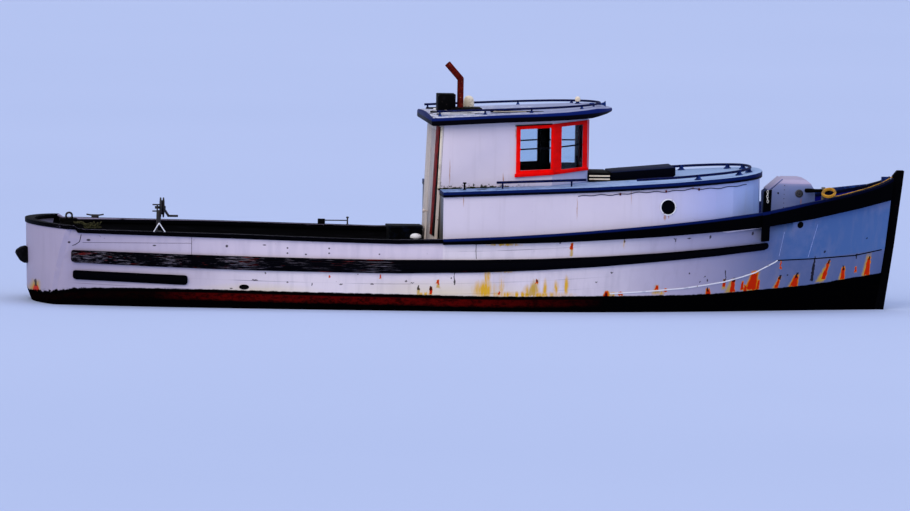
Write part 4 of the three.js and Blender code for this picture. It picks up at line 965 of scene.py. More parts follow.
# %% Deck, bottom and boards, materials
deck_planks, tree, shader, place = fresh("Weathered_deck_planks", "#4A463E", 0.8)
y = add(tree, "SeparateXYZ", {0: place}, out=1)
grain = add(tree, "TexNoise", {
    "Vector": add(tree, "VectorMath", {0: place, 1: (2, 45, 20)}, operation="MULTIPLY"),
    "Scale": 1.0, "Detail": 7.0, "Roughness": 0.65,
})
seam = add(tree, "MapRange", {
    "Value": add(tree, "Math", {0: add(tree, "Math", {0: y, 1: 0.045, 2: -0.045},
                                      operation="WRAP")}, operation="ABSOLUTE"),
    "From Min": 0.0045, "From Max": 0.0025,
})
damp = add(tree, "TexNoise", {"Vector": place, "Scale": 1.3, "Detail": 5.0})
tree.links.new(in_coats(tree, "#2C2A28", (
    (grain, 0, 1, 1, "#7C766A"), (damp, 0.48, 0.68, 0.6, "#25271F"),
    (seam, 0, 1, 1, "#0A0A0A"),
)), shader.inputs["Base Color"])
tree.links.new(add(tree, "Bump", {
    "Height": add(tree, "Math", {0: seam, 1: -1.5, 2: grain}, operation="MULTIPLY_ADD"),
    "Strength": 0.7, "Distance": 0.0015,
}), shader.inputs["Normal"])

bottom_paint, tree, shader, place = fresh("Black_bottom_paint", "#020203", 0.7, shine=0.008)
slime = add(tree, "TexNoise", {"Vector": place, "Scale": 3.5, "Detail": 8.0,
                               "Roughness": 0.65})
shells = add(tree, "TexVoronoi", {"Vector": place, "Scale": 42.0})
shells = where_all(tree, ((shells, 0.22, 0.16, 0), (slime, 0.60, 0.64, 0)))
tree.links.new(in_coats(tree, "#020203", (
    (slime, 0.48, 0.66, 0.7, "#12160E"), (shells, 0, 1, 1, "#8C8878"),
)), shader.inputs["Base Color"])
tree.links.new(add(tree, "Bump", {"Height": shells, "Strength": 0.8, "Distance": 0.004}),
               shader.inputs["Normal"])


def upright_boards(name, clean, stain, wide):
    """Old white paint over upright boards of this width, with rusty nail heads."""
    made, tree, shader, place = fresh(name, clean, 0.55)
    y = add(tree, "SeparateXYZ", {0: place}, out=1)
    runs = add(tree, "TexNoise", {
        "Vector": add(tree, "VectorMath", {0: place, 1: (18, 18, 1.6)},
                      operation="MULTIPLY"),
        "Scale": 1.0, "Detail": 7.0, "Roughness": 0.65,
    })
    seam = add(tree, "MapRange", {
        "Value": add(tree, "Math", {0: add(tree, "Math", {
            0: y, 1: wide / 2, 2: -wide / 2}, operation="WRAP")}, operation="ABSOLUTE"),
        "From Min": 0.004, "From Max": 0.002,
    })
    nails = add(tree, "TexVoronoi", {"Vector": place, "Scale": 9.0})
    # Faces that look forward, into the wheelhouse, are painted nearly black as the shade
    # inside.
    forward_shade = add(tree, "SeparateXYZ", {0: add(tree, "TexCoord", out="Normal")})
    tree.links.new(in_coats(tree, clean, (
        (runs, 0.44, 0.66, 0.75, stain), (seam, 0, 1, 1, "#2E2622"),
        (nails, 0.075, 0.045, 0.9, "#4A2210"), (forward_shade, 0.20, 0.30, 1, "#020204"),
    )), shader.inputs["Base Color"])
    tree.links.new(add(tree, "Bump", {
        "Height": add(tree, "Math", {0: seam, 1: -1.5, 2: runs}, operation="MULTIPLY_ADD"),
        "Strength": 0.6, "Distance": 0.0015,
    }), shader.inputs["Normal"])
    return made


aft_boards = upright_boards("Aft_wall_boards", "#E0D4CC", "#A8988C", 0.140)
door_paint = upright_boards("Door_oil_paint", "#D6CAC6", "#9C8C84", 0.108)
print("boards:", aft_boards.name, door_paint.name)

# %% [markdown]
# ## The wheelhouse roof
# The roof has a painted canvas top that has gone pale and flaked, most of all aft, and a navy
# edge whose lower half is painted black as shade. The face's direction tells top from edge.

# %% Roof and deck edge, materials
# Where the edge's navy gives way to the black painted as shade, as height along the boat.
ROOF_SHADE_LINE = (
    (-0.70, 2.334), (-0.43, 2.347), (0.30, 2.392), (1.00, 2.422), (1.50, 2.448), (1.90, 2.464),
)
DECK_SHADE_LINE = (
    (-0.60, 1.438), (-0.43, 1.448), (0.50, 1.488), (1.55, 1.533), (2.50, 1.590), (3.30, 1.653),
    (3.90, 1.713),
)


def deck_canvas(name, top, flake, flake_from, flake_to, high, low, shade_line, coaming=False):
    """Painted canvas that looks up, over a navy edge whose lower half is painted black as
    shade.
    """
    made, tree, shader, place = fresh(name, top, 0.5, shine=0.03)
    x = add(tree, "SeparateXYZ", {0: place}, out=0)
    z = add(tree, "SeparateXYZ", {0: place}, out=2)
    looks_up = add(tree, "SeparateXYZ", {0: add(tree, "TexCoord", out="Normal")}, out=2)
    flakes = add(tree, "TexNoise", {"Vector": place, "Scale": 7.0, "Detail": 9.0,
                                    "Roughness": 0.72})
    aft = add(tree, "MapRange", {"Value": x, "From Min": flake_from, "From Max": flake_to,
                                 "To Min": -0.10, "To Max": 0.08})
    flaked = add(tree, "Math", {0: flakes, 1: aft}, operation="ADD")
    canvas = in_coats(tree, top, (
        (flaked, 0.52, 0.57, 1, flake), (flaked, 0.62, 0.66, 0.85, "#14121A"),
    ))
    edge = in_coats(tree, low, ((above_line(tree, x, z, shade_line), -0.004, 0.004, 1, high),))
    tone = add(tree, "Mix", {
        0: add(tree, "MapRange", {"Value": looks_up, "From Min": 0.80,
                                  "From Max": 0.93}),
        6: edge, 7: canvas,
    }, out=2, data_type="RGBA")
    if coaming:
        # The hatch stands forward on this deck, and its coaming is black.
        y = add(tree, "SeparateXYZ", {0: place}, out=1)
        inside = add(tree, "Math", {
            0: add(tree, "Math", {0: x, 1: HATCH_MIDDLE, 2: HATCH_HALF[0]},
                   operation="COMPARE"),
            1: add(tree, "Math", {0: y, 1: 0.0, 2: HATCH_HALF[1]}, operation="COMPARE"),
        }, operation="MULTIPLY")
        tone = add(tree, "Mix", {0: inside, 6: tone, 7: linear("#020204")}, out=2,
                   data_type="RGBA")
    tree.links.new(tone, shader.inputs["Base Color"])
    tree.links.new(add(tree, "Bump", {"Height": flakes, "Strength": 0.5,
                                      "Distance": 0.002}), shader.inputs["Normal"])
    return made


hatch_low, hatch_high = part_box("hatch_lid")
HATCH_MIDDLE = (hatch_low[0] + hatch_high[0]) / 2
HATCH_HALF = ((hatch_high[0] - hatch_low[0]) / 2, (hatch_high[1] - hatch_low[1]) / 2)
roof_paint = deck_canvas("Roof_canvas_paint", "#8C93B4", "#BFC2D6", 1.2, -0.4,
                         "#0A1C5A", "#020108", ROOF_SHADE_LINE)
deck_paint = deck_canvas("Raised_deck_paint", "#8CA4CC", "#6F8CBC", 3.5, 0.0,
                         "#07194E", "#020208", DECK_SHADE_LINE, coaming=True)
print("canvas paints:", roof_paint.name, deck_paint.name)

# %% [markdown]
# ## Red window frames and glass
# The frames wear the brightest paint on board, a signal red enamel, glossy and only a little
# faded on the sills. The panes are plain old window glass: clear, very smooth, faintly blue.

# %% Red enamel and glass, materials
window_red, tree, shader, place = fresh("Red_enamel", "#D80604", 0.35, shine=0.03)
faded = add(tree, "TexNoise", {"Vector": place, "Scale": 9.0, "Detail": 6.0})
# The glazing bars are the same frame's, but painted near black.
x = add(tree, "SeparateXYZ", {0: place}, out=0)
z = add(tree, "SeparateXYZ", {0: place}, out=2)
bar_height = add(tree, "Math", {0: x, 1: 0.0618, 2: 1.9606}, operation="MULTIPLY_ADD")
on_bar = add(tree, "Math", {0: z, 1: bar_height, 2: 0.014}, operation="COMPARE")
in_pane = add(tree, "Math", {
    0: add(tree, "Math", {0: x, 1: 0.7585, 2: 0.187}, operation="COMPARE"),
    1: add(tree, "Math", {0: x, 1: 1.238, 2: 0.142}, operation="COMPARE"),
}, operation="ADD")
bars = add(tree, "Math", {0: on_bar, 1: in_pane}, operation="MULTIPLY")
chips = add(tree, "TexNoise", {"Vector": place, "Scale": 60.0, "Detail": 4.0,
                               "Roughness": 0.7})
tree.links.new(in_coats(tree, "#F40402", (
    (faded, 0.40, 0.70, 1, "#D40302"), (bars, 0, 1, 1, "#04050C"),
    (chips, 0.70, 0.74, 0.8, "#2A0406"),
)), shader.inputs["Base Color"])
tree.links.new(add(tree, "Bump", {"Height": faded, "Strength": 0.3, "Distance": 0.001}),
               shader.inputs["Normal"])

window_glass, tree, shader, place = fresh("Old_window_glass", "#DDEBF4", 0.03)
shader.inputs["Specular Tint"].default_value = linear("#202428")
shader.inputs["Transmission Weight"].default_value = 1.0
shader.inputs["IOR"].default_value = 1.45
ripple = add(tree, "TexNoise", {"Vector": place, "Scale": 3.0, "Detail": 1.0})
tree.links.new(add(tree, "Bump", {"Height": ripple, "Strength": 0.05, "Distance": 0.01}),
               shader.inputs["Normal"])
print("enamel and glass:", window_red.name, window_glass.name)

# %% [markdown]
# ## Metal, rubber and rope
# Rails are pipe painted dark blue. The exhaust is a mild steel pipe that the heat has rusted
# dark red-brown, with the last flecks of its paint. The hauler is cast iron, oiled and rusty.
# The bumper is a block of black rubber, dull and scuffed.

# %% Metal, rubber and rope, materials
def specked(name, base, spots, grit, share, roughness, metallic=0.0, depth=0.001,
            last=None):
    """A base tone broken by spots of another: rusty iron, scuffed rubber, fibre."""
    made, tree, shader, place = fresh(name, base, roughness, metallic,
                                      0.5 if metallic else 0.04)
    broad = add(tree, "TexNoise", {"Vector": place, "Scale": grit, "Detail": 8.0,
                                   "Roughness": 0.68})
    coats = [(broad, share - 0.05, share + 0.05, 1, spots)]
    if last:
        fine = add(tree, "TexNoise", {"Vector": place, "Scale": grit * 2.1, "Detail": 5.0,
                                      "W": 3.0}, noise_dimensions="4D")
        coats.append((fine, 0.66, 0.70, 1, last))
    tree.links.new(in_coats(tree, base, coats), shader.inputs["Base Color"])
    tree.links.new(add(tree, "MapRange", {"Value": broad, "To Min": roughness - 0.12,
                                          "To Max": min(1.0, roughness + 0.15)}),
                   shader.inputs["Roughness"])
    tree.links.new(add(tree, "Bump", {"Height": broad, "Strength": 0.6,
                                      "Distance": depth}), shader.inputs["Normal"])
    return made


rail_metal = specked("Painted_rail_pipe", "#040A34", "#0E1C50", 30, 0.55, 0.5,
                     last="#3A2A2A")
stack_rust = specked("Rusty_exhaust_pipe", "#3E0806", "#5A120A", 22, 0.50, 0.8,
                     depth=0.002, last="#A87A50")
black_box = specked("Matt_black_box", "#020203", "#0C0B10", 18, 0.60, 0.65, last="#4A4040")
fender_rubber = specked("Scuffed_black_rubber", "#030304", "#0C0B10", 14, 0.55, 0.8,
                        depth=0.003, last="#3A1A14")
gurdy_iron = specked("Oiled_cast_iron", "#06050A", "#1A1218", 40, 0.55, 0.55, metallic=0.2,
                     last="#5A2A1A")
box_paint = specked("Worn_box_paint", "#020306", "#0A1020", 9, 0.56, 0.55, last="#2C3430")
console_wood = specked("Varnished_console", "#4A2E1A", "#6A4426", 12, 0.50, 0.35)
wheel_wood = specked("Varnished_wheel", "#5A3418", "#7A4C26", 20, 0.50, 0.30)
bronze = specked("Dull_bronze", "#7A5C2E", "#4E5A3A", 16, 0.56, 0.45, metallic=0.9)
engine_iron = specked("Painted_engine_iron", "#20382C", "#12201A", 14, 0.55, 0.45,
                      last="#6A3A22")
galvanised = specked("Galvanised_fitting", "#3A3C44", "#1E1C22", 30, 0.55, 0.5,
                     metallic=0.5, last="#7A3E1C")
white_enamel = specked("White_enamel", "#E2E2E6", "#B8BCC8", 12, 0.60, 0.4,
                       last="#7A6A60")
cream_paint = specked("Cream_paint", "#E8DCC4", "#C8B8A0", 14, 0.58, 0.45, last="#7A5A3A")
chain_metal = specked("Bright_chain", "#D8D4C8", "#6A6460", 60, 0.58, 0.4, metallic=0.3)
moss = specked("Damp_moss", "#0E1206", "#2A2C10", 60, 0.50, 0.95, depth=0.004)
black_gap = specked("Dark_wood_edge", "#020202", "#0C0806", 25, 0.60, 0.75)
old_red = specked("Old_red_moulding", "#86140A", "#4E0E0A", 10, 0.54, 0.6,
                  last="#6A3A34")
navy_fitting = specked("Navy_fitting_paint", "#0A1C50", "#1C3C84", 24, 0.54, 0.45,
                       last="#04060E")
rope_yellow, tree, shader, place = fresh("Yellow_laid_rope", "#C8921E", 0.75)
fibre = add(tree, "TexNoise", {"Vector": place, "Scale": 220.0, "Detail": 3.0})
grime = add(tree, "TexNoise", {"Vector": place, "Scale": 14.0, "Detail": 5.0})
tree.links.new(in_coats(tree, "#D9A324", (
    (fibre, 0, 1, 1, "#A87412"), (grime, 0.46, 0.66, 0.75, "#5A4526"),
)), shader.inputs["Base Color"])
tree.links.new(add(tree, "Bump", {"Height": fibre, "Strength": 0.5, "Distance": 0.0006}),
               shader.inputs["Normal"])
olive_rope = specked("Olive_net_twine", "#1C1C10", "#403E26", 50, 0.50, 0.85)
# The hood is the same white woodwork, painted dark blue-grey as shade, with a lighter tone on
# its sloping top as painted light.
hood_paint = woodwork("Hood_shaded_oil_paint", "#6676A6", "#56689C", 3.8, 4.3, (
    (4.060, 1.250, 0.010, 0.060), (4.150, 1.360, 0.008, 0.060),
), lit_top_tone="#9D94B6")
for piece in (mooring_line, whipping):
    piece.data.materials.clear()
    piece.data.materials.append(rope_yellow)
print("finishes so far:", len(bpy.data.materials))

# %% [markdown]
# ## Which finish goes where
# The record names a material slot for each part of the frame. This table gives each slot its
# finish, so that the frame's own parts and the pieces that stand for them wear the same one.

# %% Finishes by slot
finishes = {
    "hull_paint": topside_paint, "bottom_paint": bottom_paint, "black_trim": trim_paint,
    "guard_paint": guard_paint, "bulwark_paint": bulwark_paint, "deck_planks": deck_planks,
    "fender_rubber": fender_rubber, "cabin_paint": cabin_paint, "navy_paint": deck_paint,
    "house_paint": house_paint, "aft_boards": aft_boards, "door_paint": door_paint,
    "roof_paint": roof_paint, "window_red": window_red, "window_glass": window_glass,
    "rail_metal": rail_metal, "stack_rust": stack_rust, "black_box": black_box,
    "hood_paint": hood_paint, "gurdy_iron": gurdy_iron, "box_paint": box_paint,
    "console_wood": console_wood, "wheel_wood": wheel_wood, "bronze": bronze,
    "engine_iron": engine_iron, "rope_yellow": rope_yellow,
}
slot_of = {row["node"]: row["material_slot"] for row in frame["record"]["subparts"]}
special = {
    "cap_rail_starboard": cap_paint, "cap_rail_port": cap_paint, "cap_rail_stern": cap_paint,
    "rub_strake_starboard": strake_paint, "rub_strake_port": strake_paint,
    "short_fender_starboard": fender_paint, "short_fender_port": fender_paint,
    "hatch_lid": navy_paint, "cabin_front": front_shaded_paint,
}
for name, node in nodes.items():
    paint = special.get(name, finishes[slot_of[name]])
    if node.material_slots:
        for holder in node.material_slots:
            holder.material = paint
    else:
        node.data.materials.append(paint)
print("finishes set on", len(nodes), "parts")

# %% [markdown]
# ## Softened edges
# Real timber has no knife edges: years of paint and knocks round every arris to a few
# millimetres. The frame's parts are copied, their loose triangles are welded, flat triangles
# are joined into whole faces, and a bevel of that size is cut along every hard edge. The
# copy then stands for the frame's part. Round parts and the boat's curved skins only need
# welding and smooth shading.

# %% Copies with softened edges
HARD_EDGE, SMOOTH_EDGE = math.radians(32), math.radians(35)


def planed(name, edge=0.0):
    """A copy of a frame part with welded corners and rounded edges, in its place."""
    source = nodes[name]
    piece = bpy.data.objects.new(name + "_finished", source.data.copy())
    bpy.context.scene.collection.objects.link(piece)
    open_whole(piece)
    bpy.ops.mesh.remove_doubles(threshold=0.00002)
    if edge:
        bpy.ops.mesh.dissolve_limited(angle_limit=math.radians(0.6))
    bpy.ops.object.mode_set(mode="OBJECT")
    if edge:
        soften = piece.modifiers.new("Arris", "BEVEL")
        soften.width = edge
        soften.segments = 2
        soften.limit_method = "ANGLE"
        soften.angle_limit = HARD_EDGE
        bpy.ops.object.modifier_apply(modifier=soften.name)
    bpy.ops.object.shade_smooth_by_angle(angle=SMOOTH_EDGE)
    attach(piece, source["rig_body"])
    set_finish(piece, slot_of[name])
    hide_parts(name)
    return piece


SMOOTH_ONLY = ("hull", "transom", "bow_bulwark_starboard", "bow_bulwark_port",
               "bulwark_starboard", "bulwark_port", "cabin_front", "cabin_side_starboard",
               "cabin_side_port", "propeller", "keel", "rudder", "exhaust_stack",
               "helm_wheel", "gurdy_spool", "roof_rail", "deck_rail",
               "side_rail_starboard", "side_rail_port", "aft_deck", "foredeck",
               "companion_hood")
ROUNDED = (
    ("rub_strake_starboard", 0.020), ("rub_strake_port", 0.020),
    ("short_fender_starboard", 0.018), ("short_fender_port", 0.018),
    ("cap_rail_starboard", 0.010), ("cap_rail_port", 0.010), ("cap_rail_stern", 0.010),
    ("sheer_guard_starboard", 0.010), ("sheer_guard_port", 0.010), ("stem", 0.008),
    ("stern_bumper", 0.030), ("stern_bitt", 0.008), ("wheelhouse_roof", 0.022),
    ("raised_deck", 0.016), ("hatch_lid", 0.010), ("window_frame_starboard", 0.004),
    ("window_frame_port", 0.004), ("window_frame_front", 0.004),
    ("wheelhouse_side_starboard", 0.003), ("wheelhouse_side_port", 0.003),
    ("wheelhouse_corner_starboard", 0.003), ("wheelhouse_corner_port", 0.003),
    ("wheelhouse_front", 0.003), ("wheelhouse_aft", 0.004), ("wheelhouse_door", 0.003),
    ("roof_box", 0.008), ("deck_box", 0.006), ("helm_console", 0.006),
    ("companion_lid", 0.006), ("gurdy_bracket", 0.003), ("engine_block", 0.012),
)
for name in SMOOTH_ONLY:
    planed(name)
for name, edge in ROUNDED:
    piece = planed(name, edge)
    print(name, len(piece.data.polygons), "faces")

# %% [markdown]
# ## Steps that make the small fittings
# Most fittings on a boat are one of four things: something turned on a lathe, a squared
# block, a board or moulding with one section along its length, or a bent bar. Each kind gets
# one function of a few modelling steps. A fitting that comes twice is modelled once; the
# second is a copy with its own mesh, mirrored or moved.

# %% Steps for fittings
def dress(piece, paint, slot, angle=40):
    """Smooth shading, the finish, the record's slot and the boat as the piece's body."""
    take(piece)
    bpy.ops.object.shade_smooth_by_angle(angle=math.radians(angle))
    piece.data.materials.clear()
    piece.data.materials.append(paint)
    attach(piece, "boat")
    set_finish(piece, slot)
    return piece


def turned(name, outline, at, way=(0, 0, 1), sides=24):
    """A disc, extruded and scaled once for each (radius, height) of a turned outline."""
    way, at = Vector(way).normalized(), Vector(at)
    start()
    bpy.ops.mesh.primitive_circle_add(
        vertices=sides, radius=outline[0][0], fill_type="NGON",
        location=at + way * outline[0][1], rotation=way.to_track_quat("Z", "Y").to_euler(),
    )
    piece = named(name)
    bpy.ops.object.mode_set(mode="EDIT")
    bpy.ops.mesh.select_mode(type="FACE")
    bpy.ops.mesh.select_all(action="SELECT")
    for (wide, low), (next_wide, high) in zip(outline, outline[1:]):
        bpy.ops.mesh.extrude_region_move(TRANSFORM_OT_translate={
            "value": tuple(way * (high - low)), "orient_type": "GLOBAL",
        })
        bpy.ops.transform.resize(value=(next_wide / wide,) * 3,
                                 center_override=tuple(at + way * high))
    bpy.ops.mesh.select_all(action="SELECT")
    bpy.ops.mesh.normals_make_consistent(inside=False)
    bpy.ops.object.mode_set(mode="OBJECT")
    bpy.ops.object.transform_apply(location=True, rotation=True, scale=True)
    return piece


def boxed(name, low, high, edge):
    """A squared block between two corners, its arrises rounded."""
    middle = tuple((a + b) / 2 for a, b in zip(low, high))
    start()
    bpy.ops.mesh.primitive_cube_add(size=1, location=middle)
    piece = named(name)
    open_whole(piece)
    bpy.ops.transform.resize(value=tuple(b - a for a, b in zip(low, high)),
                             center_override=middle)
    bpy.ops.mesh.bevel(offset=edge, segments=2, affect="EDGES")
    bpy.ops.object.mode_set(mode="OBJECT")
    bpy.ops.object.transform_apply(location=True, rotation=True, scale=True)
    return piece


def swept(name, corners, steps, edge=0.0):
    """A board or moulding: a four-cornered section, extruded once for each step."""
    start()
    bpy.ops.mesh.primitive_plane_add(size=1)
    piece = named(name)
    bpy.ops.object.mode_set(mode="EDIT")
    for number, corner in enumerate(corners):
        pick("verts", lambda v: v.index == number)
        mesh = bmesh.from_edit_mesh(piece.data)
        mesh.verts.ensure_lookup_table()
        bpy.ops.transform.translate(value=tuple(Vector(corner) - mesh.verts[number].co))
    bpy.ops.mesh.select_mode(type="FACE")
    bpy.ops.mesh.select_all(action="SELECT")
    for step in steps:
        bpy.ops.mesh.extrude_region_move(TRANSFORM_OT_translate={
            "value": tuple(step), "orient_type": "GLOBAL",
        })
    bpy.ops.mesh.select_all(action="SELECT")
    bpy.ops.mesh.normals_make_consistent(inside=False)
    if edge:
        pick("edges", lambda e: e.calc_face_angle(0) > 0.6)
        bpy.ops.mesh.bevel(offset=edge, segments=2, affect="EDGES")
    bpy.ops.object.mode_set(mode="OBJECT")
    return piece


def again(piece, name, shift=None):
    """A copy with its own mesh, moved by a shift or mirrored to the boat's other side."""
    copy = bpy.data.objects.new(name, piece.data.copy())
    bpy.context.scene.collection.objects.link(copy)
    open_whole(copy)
    if shift:
        bpy.ops.transform.translate(value=shift)
    else:
        bpy.ops.transform.resize(value=(1, -1, 1), center_override=(0, 0, 0))
        bpy.ops.mesh.normals_make_consistent(inside=False)
    bpy.ops.object.mode_set(mode="OBJECT")
    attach(copy, piece["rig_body"])
    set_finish(copy, piece["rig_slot"])
    return copy


def outside(node, x, z, proud):
    """A point that stands proud of the starboard side of a part."""
    point, normal = skin(node, x, z)
    return point + normal * proud


print("steps for fittings ready")

# %% [markdown]
# ## Portholes
# One round port stands in each side of the cabin. A white ring is bedded on the planking over
# a dark, slightly domed pane, and six round-headed screws hold it. The ring is turned: the
# outline climbs over the rim and drops back to the seat of the glass.

# %% Portholes
PORT_X, PORT_Z = 2.390, 1.320
PORT_REACH = 0.125
SCREW_CIRCLE = 0.097
port_glass, tree, shader, place = fresh("Dark_port_glass", "#010104", 0.2, shine=0.03)
smears = add(tree, "TexNoise", {"Vector": place, "Scale": 40.0, "Detail": 4.0})
tree.links.new(add(tree, "MapRange", {"Value": smears, "To Min": 0.10, "To Max": 0.35}),
               shader.inputs["Roughness"])
pale_seam = specked("Pale_filled_seam", "#8C9ED6", "#B4BEE4", 40, 0.52, 0.6)
upper, outward = skin("cabin_side_starboard", PORT_X, PORT_Z + PORT_REACH)
lower = skin("cabin_side_starboard", PORT_X, PORT_Z - PORT_REACH)[0]
port_at = (upper + lower) / 2
RING = (
    (0.090, -0.016), (0.0905, 0.001), (0.103, 0.001), (0.1055, 0.004), (0.104, 0.010),
    (0.100, 0.012), (0.094, 0.012), (0.0905, 0.009), (0.089, -0.003), (0.080, -0.003),
)
ring = dress(turned("porthole_ring_starboard", RING, port_at, outward, 48), white_enamel,
             "house_paint")
pane = dress(turned("porthole_pane_starboard", (
    (0.0892, -0.003), (0.0888, 0.003), (0.070, 0.005), (0.040, 0.007), (0.006, 0.008),
), port_at, outward, 48), port_glass, "window_glass")
again(ring, "porthole_ring_port")
again(pane, "porthole_pane_port")
head = turned("porthole_screw_0", ((0.0045, 0.0), (0.0042, 0.0015), (0.0022, 0.003)),
              port_at + outward * 0.0115 + Vector((SCREW_CIRCLE, 0, 0)), outward, 10)
dress(head, galvanised, "house_paint")
again(head, "porthole_screw_port_0")
for number in range(1, 6):
    angle = math.pi * number / 3
    shift = ((math.cos(angle) - 1) * SCREW_CIRCLE, 0, math.sin(angle) * SCREW_CIRCLE)
    screw = again(head, f"porthole_screw_{number}", shift=shift)
    again(screw, f"porthole_screw_port_{number}")
print("portholes at height", PORT_Z, "m; ring", 2 * max(wide for wide, _ in RING), "m wide")

# %% [markdown]
# ## Feet of the rails
# Where a rail's post meets the deck a cast foot spreads the load: a flat flange that sweeps up
# into a socket. They are painted the same blue as the trim. The roof's feet are smaller.

# %% Rail feet
def foot_at(name, x, y, node, outline):
    """A turned foot under a rail post, standing where the deck is, and its twin to port."""
    made = turned(name, outline, top_of(node, x, y) - Vector((0, 0, 0.002)), sides=20)
    again(dress(made, navy_fitting, "rail_metal"), name + "_port")


FAN_FOOT = ((0.050, 0.0), (0.050, 0.006), (0.036, 0.016), (0.026, 0.030), (0.021, 0.048),
            (0.019, 0.062))
ROOF_FOOT = ((0.026, 0.0), (0.026, 0.005), (0.018, 0.013), (0.014, 0.026))
DECK_POSTS = ((2.785, -1.052), (3.330, -0.712), (3.487, -0.370))
ROOF_POSTS = ((-0.440, -0.854), (0.120, -0.905), (0.700, -0.910), (1.350, -0.662))
for number, (x, y) in enumerate(DECK_POSTS):
    foot_at(f"deck_rail_foot_{number}", x, y, "raised_deck", FAN_FOOT)
for number, (x, y) in enumerate(ROOF_POSTS):
    foot_at(f"roof_rail_foot_{number}", x, y, "wheelhouse_roof", ROOF_FOOT)
print("rail feet:", 2 * len(DECK_POSTS), "on the deck,", 2 * len(ROOF_POSTS), "on the roof")

# %% [markdown]
# ## Deck fittings beside the house
# A mooring tee stands on the side deck. Damp moss grows in the corner where the
# wheelhouse meets the deck. A white mushroom vent, turned from one outline, airs the space
# under the side deck, and a wire is clipped along the cabin side.

# %% Tee, vent, wire
WIRE_FROM, WIRE_LONG, WIRE_STEPS = 1.25, 2.15, 45
tee_floor = top_of("raised_deck", -0.141, -1.12)
dress(turned("deck_tee", (
    (0.024, 0.0), (0.022, 0.006), (0.012, 0.010), (0.011, 0.074), (0.023, 0.078),
    (0.024, 0.088), (0.020, 0.093),
), tee_floor - Vector((0, 0, 0.002)), sides=18), trim_paint, "black_trim")
vent_floor = top_of("aft_deck", -0.733, -1.05, sky=1.2)
dress(turned("mushroom_vent", (
    (0.060, 0.0), (0.060, 0.006), (0.032, 0.012), (0.030, 0.26), (0.068, 0.268),
    (0.072, 0.280), (0.066, 0.300), (0.046, 0.316), (0.018, 0.323),
), vent_floor, sides=28), white_enamel, "house_paint")
side_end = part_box("cabin_side_starboard")[1][0] - 0.02


def wire_height(x):
    """The wire climbs with the deck edge."""
    return 1.450 + 0.0627 * (x - WIRE_FROM)


wire_points = []
for number in range(WIRE_STEPS + 1):
    x = WIRE_FROM + WIRE_LONG * number / WIRE_STEPS
    z = wire_height(x) + 0.007 * math.sin(number * 1.3) + 0.005 * math.sin(number * 0.47)
    wall = "cabin_side_starboard" if x < side_end else "cabin_front"
    wire_points.append(outside(wall, x, z, 0.006))
dress(drawn("cabin_wire", [wire_points], 0.0045), rail_metal, "rail_metal")
for number, x in enumerate((1.78, 2.36, 2.78)):
    at = outside("cabin_side_starboard", x, wire_height(x), 0.0)
    dress(boxed(f"wire_clip_{number}", at + Vector((-0.010, -0.014, -0.018)),
                at + Vector((0.010, 0.004, 0.012)), 0.002), stack_rust, "stack_rust")
print("tee at", round(tee_floor.z, 3), "vent at", round(vent_floor.z, 3))

# %% Moss in the corner
CLUMPS = (
    (-0.42, 0.020), (-0.36, 0.024), (-0.30, 0.016), (-0.25, 0.026), (-0.19, 0.018),
    (-0.08, 0.020), (-0.02, 0.028), (0.04, 0.018), (0.11, 0.026), (0.17, 0.016),
    (0.23, 0.022), (0.31, 0.014), (0.40, 0.016),
)
for number, (x, size) in enumerate(CLUMPS):
    ground = top_of("raised_deck", x, -0.93)
    start()
    bpy.ops.mesh.primitive_ico_sphere_add(subdivisions=2, radius=size,
                                          location=ground + Vector((0, 0.006, 0.002)))
    clump = named(f"moss_{number}")
    open_whole(clump)
    bpy.ops.transform.vertex_random(offset=size * 0.28, seed=number + 1)
    bpy.ops.transform.resize(value=(1.9, 0.8, 0.7),
                             center_override=tuple(ground + Vector((0, 0.006, 0))))
    bpy.ops.object.mode_set(mode="OBJECT")
    bpy.ops.object.transform_apply(location=True, rotation=True, scale=True)
    dress(clump, moss, "black_trim", angle=60)
print("moss clumps:", len(CLUMPS))

# %% [markdown]
# ## Boards on the wheelhouse's aft wall
# The aft wall has been patched. A red-brown board runs up it near the corner. Beside it a black
# board that widens downward stands for the shaded gap at the corner, and a cream strip on the
# edge of the side wall is the corner's painted highlight. Each is a board with its true
# outline, laid on the leaning wall.

# %% Aft wall boards
def wall_x(z):
    """Where the leaning aft wall's outer face is at a height."""
    return surface("wheelhouse_aft", (-3, -0.60, z), (1, 0, 0))[0].x


def on_aft_wall(name, rows, thick, paint, slot):
    """A board on the aft wall from (y, z) rows in the order low, low, high, high."""
    corners = [(wall_x(z) + 0.001, y, z) for y, z in rows]
    return dress(swept(name, corners, [(-thick, 0, 0)], 0.002), paint, slot)


on_aft_wall("aft_board_red", ((-0.640, 0.90), (-0.350, 0.90), (-0.888, 2.262),
                              (-0.430, 2.262)), 0.014, old_red, "aft_boards")
# A black board, painted where the corner's gap lies in shade.
on_aft_wall("aft_board_black", ((-0.895, 0.90), (-0.645, 0.90), (-0.905, 2.262),
                                (-0.893, 2.262)), 0.012, black_gap, "black_trim")
# A cream strip on the side wall's edge, a painted highlight of the corner.
edge_line = [(wall_x(z), -0.9015, z) for z in (1.50, 2.262)]
highlight_corners = (edge_line[0], (edge_line[0][0] + 0.024, -0.9015, 1.50), edge_line[1],
                (edge_line[1][0] + 0.024, -0.9015, 2.262))
dress(swept("aft_corner_moulding", highlight_corners, [(0, -0.006, 0)], 0.0015), cream_paint,
      "house_paint")
print("aft boards lean", round(wall_x(2.2) - wall_x(1.0), 3), "m")

# %% [markdown]
# ## The hood and the fender post
# The companion hood carries a round fitting, a small plug and a line of nail heads. A
# bright chain hangs on the fender post: one link is modelled and the others are copies, each
# turned across the one before. The mooring bar beside the hood wears a tarred leather sleeve,
# thick at its aft end where the rope has chafed it.

